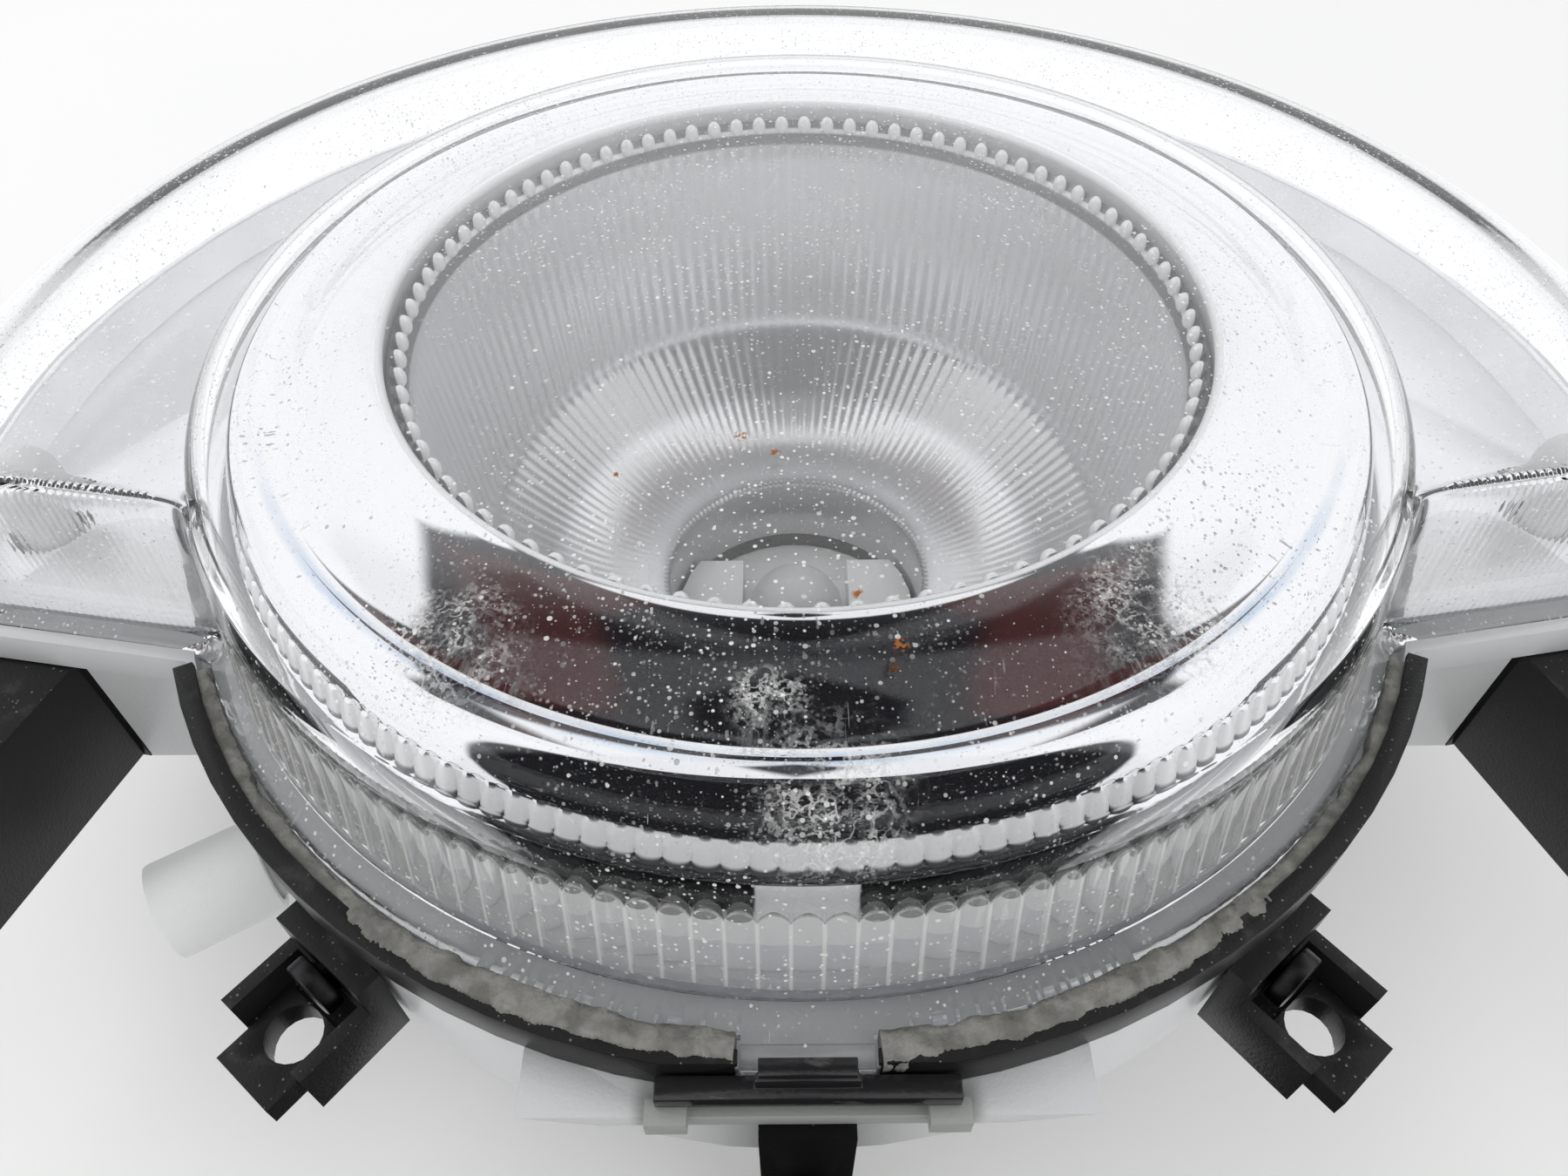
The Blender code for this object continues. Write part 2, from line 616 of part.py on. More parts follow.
def rear_housing():
    tray = stack([d_outline(TRAY_R, TRAY_CHORD, drop)
                  for drop in (TRAY_UNDER_DROP, FLANGE_TOP_DROP - HOUSING_WALL)])
    collar = rod((0, 0, height(TUB_DEPTH + REAR_COLLAR_LENGTH)), (0, 0, height(TUB_DEPTH - HOUSING_WALL / 2)),
                 REAR_HOLE_R + REAR_COLLAR_WALL, RING_STEPS)
    stub_root = tub_wall_radius(BREATHER_DROP) - 4 * HOUSING_WALL
    stub = breather_stub(BREATHER_R, stub_root, BREATHER_END_R)
    housing = join(tub_outside(), tray, collar, stub, housing_lug())
    for side in (-1, 1):
        join(housing, side_panel(side))
    above = block((-TRAY_R - CUT_REACH, -TRAY_R - CUT_REACH, height(FLANGE_TOP_DROP)),
                  (TRAY_R + CUT_REACH, TRAY_R + CUT_REACH, height(FLANGE_TOP_DROP - CUT_REACH / 2)))
    rear_hole = rod((0, 0, height(TUB_DEPTH + CUT_REACH)), (0, 0, height(TUB_DEPTH - CUT_REACH)),
                    REAR_HOLE_R, RING_STEPS)
    tab_slot = block((-TAB_HALF_WIDTH - GAP, -TUB_R - CUT_REACH, height(LEDGE_DROP + TAB_SLOT_DEPTH)),
                     (TAB_HALF_WIDTH + GAP, -FLANGE_R, height(FLANGE_TOP_DROP - CUT_REACH)))
    screw_hole = rod((0, SCREW_Y, height(TUB_DEPTH + CUT_REACH)), (0, SCREW_Y, height(TUB_DEPTH - CUT_REACH)),
                     SCREW_R + GAP)
    breather_bore = breather_stub(BREATHER_R - BREATHER_WALL,
                                  stub_root - CUT_REACH / 4, BREATHER_END_R + CUT_REACH)
    cut(housing, tub_inside(), wing_space(), above, rear_hole, tab_slot, screw_hole, breather_bore)
    for side in (-1, 1):
        cut(housing, side_bore(side))
        turn = -90 + side * BRACKET_DEGREES
        cut(housing, radial_screw_hole(turn, BRACKET_SCREW_DROP, FIX_SCREW_R + FIX_CLEARANCE))
    return cut(housing, radial_screw_hole(-90, LEG_SCREW_DROP, FIX_SCREW_R + FIX_CLEARANCE))


def rear_stay(side):
    """Square post under the crescent tray, beside the tub, with a blind bore for its insert."""
    x = side * STAY_PLACE
    stay = block((x - STAY_HALF, STAY_PLACE - STAY_HALF, 0),
                 (x + STAY_HALF, STAY_PLACE + STAY_HALF, height(TRAY_UNDER_DROP + GAP)))
    return cut(stay, rod((x, STAY_PLACE, -CUT_REACH), (x, STAY_PLACE, STAY_BORE_DEPTH), STAY_BORE_R))


def stay_insert(side):
    x = side * STAY_PLACE
    insert = rod((x, STAY_PLACE, GAP), (x, STAY_PLACE, GAP + INSERT_LENGTH), STAY_BORE_R - GAP)
    return cut(insert, rod((x, STAY_PLACE, -CUT_REACH), (x, STAY_PLACE, CUT_REACH), INSERT_BORE_R))


# Rim band and sealing bead, on the near side between the wings
def near_arc_half_degrees(radius):
    """Half of the arc that the wings leave free on the near side, at some radius."""
    return degrees(CRESCENT_SWEEP + acos((TRAY_CHORD + BAND_END_GAP) * cos(CRESCENT_SWEEP) / radius))


def tab_notch():
    half = TAB_HALF_WIDTH + GAP
    floor = height(CLIP_DROP + 2 * GAP)
    return block((-half, -TUB_R - CUT_REACH, floor), (half, -FLANGE_R, height(-CUT_REACH)))


def clip_notch():
    half = CLIP_HALF_WIDTH + GAP
    return block((-half, -TUB_R - 2 * CUT_REACH, height(CLIP_BOTTOM_DROP + GAP)),
                 (half, GAP - CLIP_INNER, height(-2 * CUT_REACH)))


def rim_band():
    inner = TUB_R + GAP
    outer = inner + BAND_WALL
    lip = FLANGE_TOP_DROP - GAP
    top = BAND_TOP_DROP
    half = near_arc_half_degrees(outer)
    over = RIM_INNER_R
    profile = [(outer, height(top)), (outer, height(top + BAND_HEIGHT)), (inner, height(top + BAND_HEIGHT)),
               (inner, height(lip)), (over, height(lip)), (over, height(top))]
    return cut(lathe(profile, -90 - half, 2 * half, RING_STEPS // 2), tab_notch(), clip_notch())


def lens_seal(side):
    inner = FLANGE_R + GAP
    outer = RIM_INNER_R - GAP
    start = degrees(asin((TAB_HALF_WIDTH + GAP) / inner))
    end = near_arc_half_degrees(outer)
    floor = SEAT_DROP
    profile = [(outer, height(floor - SEAL_RISE)), (outer, height(floor)), (inner, height(floor)),
               (inner, height(floor - SEAL_RISE))]
    first = -90 + start if side > 0 else -90 - end
    return lathe(profile, first, end - start, RING_STEPS // 4)


# Bezel ring
def bezel_ring():
    wall = BEZEL_WALL
    outer = [(BEZEL_LIP_R, -BEZEL_LIP_RISE), (BEZEL_CREASE_R, -BEZEL_CREASE_RISE)]
    run = BEZEL_SHOULDER_R - BEZEL_CREASE_R
    fall = BEZEL_SHOULDER_DROP + BEZEL_CREASE_RISE
    for i in range(1, SHOULDER_STEPS):
        angle = pi / 2 * i / SHOULDER_STEPS
        outer.append((BEZEL_CREASE_R + run * sin(angle), BEZEL_SHOULDER_DROP - fall * cos(angle)))
    outer += [(BEZEL_SHOULDER_R, BEZEL_SHOULDER_DROP), (BEZEL_SKIRT_R, BEZEL_SKIRT_DROP),
              (BEZEL_SKIRT_R, SEAT_DROP)]
    inner = [(BEZEL_SKIRT_R - wall, SEAT_DROP), (BEZEL_SKIRT_R - wall, BEZEL_SKIRT_DROP + wall),
             (BEZEL_SHOULDER_R - wall, BEZEL_SHOULDER_DROP + wall),
             (BEZEL_CREASE_R - wall / 2, wall - BEZEL_CREASE_RISE), (BEZEL_LIP_R, wall - BEZEL_LIP_RISE)]
    return lathe([(r, height(drop)) for r, drop in outer + inner])


# Main reflector with its pivot pins and adjuster ear
def bowl_line(offset):
    """The bowl from its rim to the end of the neck, pushed outward by some thickness."""
    line = [(REFLECTOR_RIM_R + offset, RIM_BEAD_DROP + RIM_BEAD_R), (WALL_FOOT_R + offset, WALL_FOOT_DROP)]
    for i in range(1, BOWL_STEPS + 1):
        share = i / BOWL_STEPS
        r = WALL_FOOT_R + (NECK_R - WALL_FOOT_R) * share
        drop = WALL_FOOT_DROP + (BOWL_FLOOR_DROP - WALL_FOOT_DROP) * sin(share * pi / 2)
        line.append((r + offset, drop + offset * share))
    line[-1] = (NECK_R + offset, BOWL_FLOOR_DROP + offset)
    line.append((NECK_R + offset, NECK_END_DROP))
    return line


def mid_wall_radius(drop):
    """Radius half way through the bowl's upper wall at some depth."""
    (top_r, top_drop), (foot_r, foot_drop) = bowl_line(REFLECTOR_WALL / 2)[:2]
    return top_r + (foot_r - top_r) * (drop - top_drop) / (foot_drop - top_drop)


def adjuster_ear():
    root = -mid_wall_radius(EAR_DROP + EAR_THICKNESS / 2)
    return block((-EAR_HALF_WIDTH, SCREW_Y - EAR_HALF_WIDTH, height(EAR_DROP + EAR_THICKNESS)),
                 (EAR_HALF_WIDTH, root, height(EAR_DROP)))


def screw_passage():
    return rod((0, SCREW_Y, height(EAR_DROP + CUT_REACH)), (0, SCREW_Y, height(EAR_DROP - CUT_REACH)),
               SCREW_R + SCREW_SWING)


def main_reflector():
    inside = bowl_line(0)
    outside = bowl_line(REFLECTOR_WALL)
    bead_centre = (REFLECTOR_RIM_R + REFLECTOR_WALL / 2, RIM_BEAD_DROP)
    bead_reach = hypot(REFLECTOR_WALL / 2, RIM_BEAD_R)
    rim = [(bead_centre[0] + bead_reach * cos(a), bead_centre[1] - bead_reach * sin(a))
           for a in (pi / 4, pi / 2, 3 * pi / 4)]
    bowl = lathe([(r, height(drop)) for r, drop in rim + inside + outside[::-1]])
    join(bowl, adjuster_ear())
    for side in (-1, 1):
        pin_end = side * (PIVOT_POST_X + PIVOT_POST_HALF + GAP)
        join(bowl, rod((side * mid_wall_radius(PIVOT_DROP), 0, height(PIVOT_DROP)),
                       (pin_end, 0, height(PIVOT_DROP)), PIVOT_PIN_R))
    return cut(bowl, screw_passage())


def pivot_post(side):
    x = side * PIVOT_POST_X
    post = block((x - PIVOT_POST_HALF, -PIVOT_POST_DEPTH / 2, height(FLOOR_DROP - GAP)),
                 (x + PIVOT_POST_HALF, PIVOT_POST_DEPTH / 2, height(PIVOT_DROP - PIVOT_POST_TOP)))
    bore = rod((x - CUT_REACH, 0, height(PIVOT_DROP)), (x + CUT_REACH, 0, height(PIVOT_DROP)),
               PIVOT_PIN_R + PIVOT_CLEARANCE)
    return cut(post, bore)


def adjuster_nut():
    nut = block((-NUT_HALF, SCREW_Y - NUT_HALF, height(EAR_DROP - GAP)),
                (NUT_HALF, SCREW_Y + NUT_HALF, height(EAR_DROP - GAP - NUT_HEIGHT)))
    return cut(nut, screw_passage())


def adjuster_screw():
    return rod((0, SCREW_Y, height(TUB_DEPTH + GAP + KNOB_HEIGHT / 2)), (0, SCREW_Y, height(SCREW_TIP_DROP)),
               SCREW_R)


def adjuster_knob():
    top = height(TUB_DEPTH + GAP)
    bottom = top - KNOB_HEIGHT
    knob = rod((0, SCREW_Y, bottom), (0, SCREW_Y, top), KNOB_R)
    for i in range(KNOB_LOBES):
        angle = 2 * pi * i / KNOB_LOBES
        place = Vector((KNOB_R * cos(angle), SCREW_Y + KNOB_R * sin(angle), 0))
        cut(knob, rod(place + Vector((0, 0, bottom - CUT_REACH)), place + Vector((0, 0, top + CUT_REACH)),
                      KNOB_LOBE_R))
    hole_floor = top - KNOB_HEIGHT / 2 - GAP
    return cut(knob, rod((0, SCREW_Y, hole_floor), (0, SCREW_Y, top + CUT_REACH), SCREW_R + GAP))


# Bulb, holder and rear boot
HOLDER_TOP_DROP = BOWL_FLOOR_DROP + HOLDER_SINK
HOLDER_FLANGE_DROP = NECK_END_DROP + GAP + SEAL_RING_HEIGHT + GAP
BASE_TOP_DROP = HOLDER_TOP_DROP + NOTCH_DEPTH
BASE_END_DROP = BASE_TOP_DROP + BULB_BASE_LENGTH


def bulb_holder():
    """Holder with two prongs left and right of the bulb, inside the neck."""
    collar_r = NECK_R - HOLDER_CLEARANCE
    bore = BULB_BASE_R + BULB_FIT
    flange_end = HOLDER_FLANGE_DROP + HOLDER_FLANGE_THICKNESS
    profile = [(bore, HOLDER_TOP_DROP), (collar_r, HOLDER_TOP_DROP), (collar_r, HOLDER_FLANGE_DROP),
               (HOLDER_FLANGE_R, HOLDER_FLANGE_DROP), (HOLDER_FLANGE_R, flange_end),
               (HOLDER_BODY_R, flange_end),
               (HOLDER_BODY_R, HOLDER_END_DROP), (0, HOLDER_END_DROP), (0, BASE_END_DROP + GAP),
               (bore, BASE_END_DROP + GAP)]
    holder = lathe([(r, height(drop)) for r, drop in profile], steps=RING_STEPS // 2)
    reach = collar_r + CUT_REACH
    floor = height(HOLDER_TOP_DROP + NOTCH_DEPTH)
    over = height(HOLDER_TOP_DROP) + CUT_REACH
    cut(holder, block((-NOTCH_HALF, -reach, floor), (NOTCH_HALF, reach, over)))
    for side in (-1, 1):
        low_y, high_y = sorted((side * PRONG_HALF_WIDTH, side * 2 * reach))
        cut(holder, block((-2 * reach, low_y, floor - GAP), (2 * reach, high_y, over + GAP)))
    return holder


def holder_seal():
    inner = NECK_R - HOLDER_CLEARANCE + GAP
    top = NECK_END_DROP + GAP
    profile = [(inner, top), (SEAL_RING_OUTER_R, top), (SEAL_RING_OUTER_R, top + SEAL_RING_HEIGHT),
               (inner, top + SEAL_RING_HEIGHT)]
    return lathe([(r, height(drop)) for r, drop in profile], steps=RING_STEPS // 2)


def bulb_base():
    return rod((0, 0, height(BASE_END_DROP)), (0, 0, height(BASE_TOP_DROP)), BULB_BASE_R)


def dome_line(radius, tip_drop, foot_drop):
    """A straight tube with a round end, from its foot to its tip."""
    line = [(radius, foot_drop)]
    for i in range(SHOULDER_STEPS):
        angle = pi / 2 * i / SHOULDER_STEPS
        line.append((radius * cos(angle), tip_drop + radius * (1 - sin(angle))))
    return line + [(0, tip_drop)]


def shell(radius, wall, tip_drop, foot_drop):
    outer = dome_line(radius, tip_drop, foot_drop)
    inner = dome_line(radius - wall, tip_drop + wall, foot_drop)
    return lathe([(r, height(drop)) for r, drop in outer + inner[::-1]], steps=ROUND_STEPS)


def bulb_glass():
    return shell(GLASS_R, GLASS_WALL, GLASS_TIP_DROP, BASE_TOP_DROP - GAP)


def bulb_cap():
    radius = GLASS_R + GAP + CAP_WALL
    return shell(radius, CAP_WALL, GLASS_TIP_DROP - GAP - CAP_WALL, GLASS_TIP_DROP + GLASS_R + CAP_LENGTH)


def bulb_filament():
    foot = height(BASE_TOP_DROP - GAP)
    bar = foot + FILAMENT_HEIGHT
    places = ((-FILAMENT_HALF, foot), (-FILAMENT_HALF, bar), (FILAMENT_HALF, bar), (FILAMENT_HALF, foot))
    return bent_wire([Vector((x, 0, z)) for x, z in places], FILAMENT_R)


def terminal_blade(index):
    top = height(HOLDER_END_DROP + GAP)
    blade = block((BLADE_RING_R - BLADE_THICKNESS / 2, -BLADE_HALF_WIDTH, top - BLADE_LENGTH),
                  (BLADE_RING_R + BLADE_THICKNESS / 2, BLADE_HALF_WIDTH, top))
    return turned(blade, 90 + 90 * index)


def rear_boot():
    seat = REAR_HOLE_R + REAR_COLLAR_WALL + GAP
    top = TUB_DEPTH + GAP
    collar_end = TUB_DEPTH + REAR_COLLAR_LENGTH + GAP
    end = top + BOOT_LENGTH
    profile = [(seat, top), (seat + BOOT_WALL, top), (seat + BOOT_WALL, collar_end),
               (BOOT_LIP_R + BOOT_WALL, end), (BOOT_LIP_R, end), (BOOT_LIP_R, end - BOOT_WALL),
               (seat - BOOT_WALL, collar_end), (seat, collar_end)]
    return lathe([(r, height(drop)) for r, drop in profile])


# Side lamps
def side_bore(side):
    place = (side * SIDE_BULB_X, SIDE_BULB_Y)
    return rod((*place, height(TRAY_UNDER_DROP + CUT_REACH)),
               (*place, height(TRAY_UNDER_DROP - CUT_REACH / 2)),
               SIDE_BORE_R)


def side_reflector(side):
    """A trough between the drum and the crescent's outer wall, in one half of the crescent."""
    wall = SIDE_REFLECTOR_WALL
    floor = SEAT_DROP
    outer_r = CRESCENT_R - LENS_WALL - 2 * GAP
    inner_top = floor - SIDE_INNER_RISE
    outer_top = floor - SIDE_OUTER_RISE
    profile = [(SIDE_INNER_R, inner_top), (SIDE_INNER_R + wall, inner_top),
               (SIDE_INNER_R + wall + SIDE_SLOPE, floor - wall), (outer_r - wall - SIDE_SLOPE, floor - wall),
               (outer_r - wall, outer_top), (outer_r, outer_top), (outer_r, floor), (SIDE_INNER_R, floor)]
    sweep = 90 + SIDE_END_DEGREES - SIDE_JOINT_DEGREES
    start = -SIDE_END_DEGREES if side > 0 else 90 + SIDE_JOINT_DEGREES
    trough = lathe([(r, height(drop)) for r, drop in profile], start, sweep, SIDE_STEPS)
    inside_lens = stack([d_outline(CRESCENT_R - LENS_WALL - GAP, CRESCENT_CHORD - LENS_WALL - GAP, drop)
                         for drop in (floor + CUT_REACH, floor - CUT_REACH)])
    boolean(trough, inside_lens, "INTERSECT")
    return cut(trough, side_bore(side))


def side_flare(top, bottom):
    """Part of a side body that reaches out past the near edge of its wing, drawn for the right side."""
    root_x = PANEL_OUTER_X + 2 * GAP
    outer_x = CRESCENT_R - FLARE_OUTER_STEP
    plan = ((root_x, PANEL_NEAR + HOUSING_WALL), (root_x + FLARE_RUN, PANEL_NEAR - FLARE_REACH),
            (outer_x, PANEL_NEAR - FLARE_REACH + FLARE_OUTER_STEP), (outer_x, PANEL_NEAR + FLARE_ROOT))
    return stack([[Vector((x, y, height(drop))) for x, y in plan] for drop in (bottom, top)])


def side_body(side):
    """Black body under a wing, rounded like the tray above it, with a flare on its near side."""
    top = TRAY_UNDER_DROP + GAP
    bottom = top + SIDE_BODY_DEPTH
    rounded = stack([d_outline(TRAY_R - TRAY_WALL, TRAY_CHORD - TRAY_WALL / 2, drop)
                     for drop in (bottom, top)])
    inner = SIDE_BODY_INNER_X
    near = PANEL_NEAR + HOUSING_WALL + GAP
    wide = block((inner, near, height(bottom)), (TRAY_R + CUT_REACH, SIDE_BODY_FAR_Y, height(top)))
    front = block((PANEL_OUTER_X + GAP, -TRAY_CHORD, height(bottom)),
                  (TRAY_R + CUT_REACH, near + HOUSING_WALL, height(top)))
    body = boolean(join(wide, front), rounded, "INTERSECT")
    join(body, side_flare(top + FLARE_INSET, bottom - FLARE_INSET))
    if side < 0:
        body.data.transform(Matrix.Scale(-1, 4, Vector((1, 0, 0))))
        body.data.flip_normals()
    return cut(body, side_bore(side))


def side_socket(side):
    top = TRAY_UNDER_DROP + GAP
    bottom = top + SIDE_BODY_DEPTH
    place = (side * SIDE_BULB_X, SIDE_BULB_Y)
    flange_top = bottom + GAP
    flange_end = flange_top + SIDE_SOCKET_FLANGE_THICKNESS
    flange_r = SIDE_SOCKET_R + SIDE_SOCKET_FLANGE
    socket = rod((*place, height(flange_end + SIDE_SOCKET_BODY)), (*place, height(top)), SIDE_SOCKET_R)
    return join(socket, rod((*place, height(flange_end)), (*place, height(flange_top)), flange_r))


def side_bulb(side):
    foot = TRAY_UNDER_DROP
    tip = foot - SIDE_BULB_RISE
    line = dome_line(SIDE_BULB_R, tip, foot) + [(0, foot)]
    bulb = lathe([(r, height(drop)) for r, drop in line], steps=ROUND_STEPS)
    return moved(bulb, (side * SIDE_BULB_X, SIDE_BULB_Y, 0))


def side_blade(side, index):
    bottom = TRAY_UNDER_DROP + GAP + SIDE_BODY_DEPTH + GAP + SIDE_SOCKET_FLANGE_THICKNESS + SIDE_SOCKET_BODY
    top = height(bottom + GAP)
    x = side * SIDE_BULB_X + (index - 0.5) * 2 * SIDE_BLADE_SPACING
    return block((x - BLADE_THICKNESS / 2, SIDE_BULB_Y - SIDE_BLADE_HALF, top - SIDE_BLADE_LENGTH),
                 (x + BLADE_THICKNESS / 2, SIDE_BULB_Y + SIDE_BLADE_HALF, top))


# Clip, brackets, leg, screws and breather
def lens_clip():
    bar = block((-CLIP_HALF_WIDTH, -CLIP_OUTER, height(CLIP_BOTTOM_DROP)),
                (CLIP_HALF_WIDTH, -CLIP_INNER, height(CLIP_DROP)))
    lip = height(TAB_TOP_DROP - GAP)
    riser = block((-BARB_HALF_WIDTH, -CLIP_INNER - CLIP_THICKNESS / 2, height(CLIP_DROP + GAP)),
                  (BARB_HALF_WIDTH, -CLIP_INNER - GAP, lip + BARB_HEIGHT / 2))
    barb = block((-BARB_HALF_WIDTH + GAP, -CLIP_INNER - CLIP_THICKNESS / 3, lip),
                 (BARB_HALF_WIDTH - GAP, -CLIP_INNER + BARB_REACH, lip + BARB_HEIGHT))
    return join(join(bar, riser), barb)


def bracket(side):
    """Channel-section bracket, drawn pointing along -Y and then turned to its place."""
    back = -TUB_R - GAP
    front = back - BRACKET_BACK
    end = front - RAIL_LENGTH
    half = BRACKET_HALF_WIDTH
    top = height(BRACKET_DROP - BRACKET_BACK_HEIGHT / 2)
    floor = height(BRACKET_DROP + BRACKET_BACK_HEIGHT / 2)
    rail_top = floor + RAIL_HEIGHT
    side_view = ((back, floor), (end, floor), (end, rail_top), (front, rail_top), (front, top), (back, top))
    body = stack([[Vector((x, y, z)) for y, z in side_view] for x in (-half, half)])
    channel = block((RAIL_THICKNESS - half, end - CUT_REACH, floor + BRACKET_PLATE),
                    (half - RAIL_THICKNESS, front - GAP, rail_top + CUT_REACH))
    tongue = block((-TONGUE_HALF_WIDTH, front - TONGUE_LENGTH, floor + TONGUE_STEP / 2),
                   (TONGUE_HALF_WIDTH, front - RAIL_LENGTH / 3, floor + BRACKET_PLATE + TONGUE_STEP))
    hole_y = front - BRACKET_HOLE_OUT
    hole = rod((0, hole_y, floor - CUT_REACH), (0, hole_y, floor + CUT_REACH), BRACKET_HOLE_R)
    cut(body, channel)
    join(body, tongue)
    cut(body, hole, radial_screw_hole(-90, BRACKET_SCREW_DROP, FIX_SCREW_R + FIX_CLEARANCE))
    return turned(body, side * BRACKET_DEGREES)


def fix_screw(angle_degrees, drop, clamped):
    """Pan head screw through a clamped thickness into the housing wall, pointing at the axis."""
    angle = radians(angle_degrees)
    z = height(drop)
    face = TUB_R + GAP + clamped + GAP
    head = rod(polar(face, angle, z), polar(face + FIX_HEAD_HEIGHT, angle, z), FIX_HEAD_R)
    return join(head, rod(polar(face - FIX_LENGTH, angle, z), polar(face + FIX_HEAD_HEIGHT / 2, angle, z),
                          FIX_SCREW_R))


def bottom_leg():
    top = LUG_TOP_DROP + LUG_HEIGHT + GAP
    leg = block((-LEG_HALF_WIDTH, -LEG_INNER - LEG_THICKNESS, 0), (LEG_HALF_WIDTH, -LEG_INNER, height(top)))
    hole = rod((0, -LEG_INNER - CUT_REACH, LEG_HOLE_HEIGHT),
               (0, -LEG_INNER + CUT_REACH, LEG_HOLE_HEIGHT), LEG_HOLE_R)
    return cut(leg, hole, radial_screw_hole(-90, LEG_SCREW_DROP, FIX_SCREW_R + FIX_CLEARANCE))


def breather_cap():
    outer_end = BREATHER_END_R + BREATHER_CAP_END
    start = outer_end - BREATHER_CAP_LENGTH
    cap = breather_stub(BREATHER_R + GAP + BREATHER_WALL, start, outer_end)
    return cut(cap, breather_stub(BREATHER_R + GAP, start - CUT_REACH / 2, BREATHER_END_R + GAP))


def build():
    clear_scene()
    lamp = empty_at("headlamp_axis", (0, AXIS_Y, 0), None)
    aim = empty_at("aim_axis", (0, 0, height(PIVOT_DROP)), lamp)
    twist = empty_at("bulb_twist_axis", (0, 0, height(HOLDER_FLANGE_DROP)), lamp)
    adjust = empty_at("adjuster_axis", (0, SCREW_Y, height(TUB_DEPTH)), lamp)
    release = empty_at("clip_axis", (0, -CLIP_OUTER, height(CLIP_BOTTOM_DROP)), lamp)

    finish_piece("front_lens", front_lens(), "clear_plastic", lamp)
    finish_piece("rear_housing", rear_housing(), "pale_plastic", lamp)
    finish_piece("rim_band", rim_band(), "black_plastic", lamp)
    finish_piece("bezel_ring", bezel_ring(), "chrome", lamp)
    finish_piece("rear_boot", rear_boot(), "rubber", lamp)
    finish_piece("breather_cap", breather_cap(), "pale_plastic", lamp)
    finish_piece("bottom_leg", bottom_leg(), "black_plastic", lamp)
    finish_piece("leg_screw", fix_screw(-90, LEG_SCREW_DROP, LEG_THICKNESS), "steel", lamp)

    finish_piece("main_reflector", main_reflector(), "chrome", aim)
    finish_piece("adjuster_nut", adjuster_nut(), "white_plastic", aim)
    finish_piece("holder_seal", holder_seal(), "rubber", aim)
    finish_piece("adjuster_screw", adjuster_screw(), "steel", adjust)
    finish_piece("adjuster_knob", adjuster_knob(), "white_plastic", adjust)
    finish_piece("lens_clip", lens_clip(), "black_metal", release)

    finish_piece("bulb_holder", bulb_holder(), "white_plastic", twist)
    finish_piece("bulb_base", bulb_base(), "steel", twist)
    finish_piece("bulb_glass", bulb_glass(), "glass", twist)
    finish_piece("bulb_cap", bulb_cap(), "grey_paint", twist)
    finish_piece("bulb_filament", bulb_filament(), "steel", twist)
    for index in range(BLADE_COUNT):
        finish_piece(f"bulb_terminal_{index + 1}", terminal_blade(index), "brass", twist)

    for side, word in ((-1, "left"), (1, "right")):
        socket_axis = empty_at(f"side_socket_axis_{word}", (side * SIDE_BULB_X, SIDE_BULB_Y, 0), lamp)
        finish_piece(f"lens_seal_{word}", lens_seal(side), "butyl", lamp)
        finish_piece(f"pivot_post_{word}", pivot_post(side), "white_plastic", lamp)
        finish_piece(f"rear_stay_{word}", rear_stay(side), "pale_plastic", lamp)
        finish_piece(f"stay_insert_{word}", stay_insert(side), "brass", lamp)
        finish_piece(f"side_reflector_{word}", side_reflector(side), "chrome", lamp)
        finish_piece(f"side_body_{word}", side_body(side), "black_plastic", lamp)
        finish_piece(f"bracket_{word}", bracket(side), "black_plastic", lamp)
        screw = fix_screw(-90 + side * BRACKET_DEGREES, BRACKET_SCREW_DROP, BRACKET_BACK + GAP)
        finish_piece(f"bracket_screw_{word}", screw, "steel", lamp)
        finish_piece(f"side_socket_{word}", side_socket(side), "pale_plastic", socket_axis)
        finish_piece(f"side_bulb_{word}", side_bulb(side), "glass", socket_axis)
        for index in range(2):
            blade = side_blade(side, index)
            finish_piece(f"side_terminal_{word}_{index + 1}", blade, "brass", socket_axis)


build()
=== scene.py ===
# %% [markdown]
# # A headlamp unit, lying on its back
# The real object is the front lamp of a small two-wheeler. A clear lens covers a chromed ring and a
# fluted chrome bowl, a crescent of the same lens covers two side lamps, and a pale housing with black
# brackets carries it all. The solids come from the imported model. This file dresses them: it makes finer
# meshes where light bends or reflects, and gives every surface its finish, then adds a floor, soft light
# and a camera.

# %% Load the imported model
import json
from math import cos, degrees, pi, radians, sin

import bmesh
import bpy
import numpy as np
from mathutils import Matrix, Vector

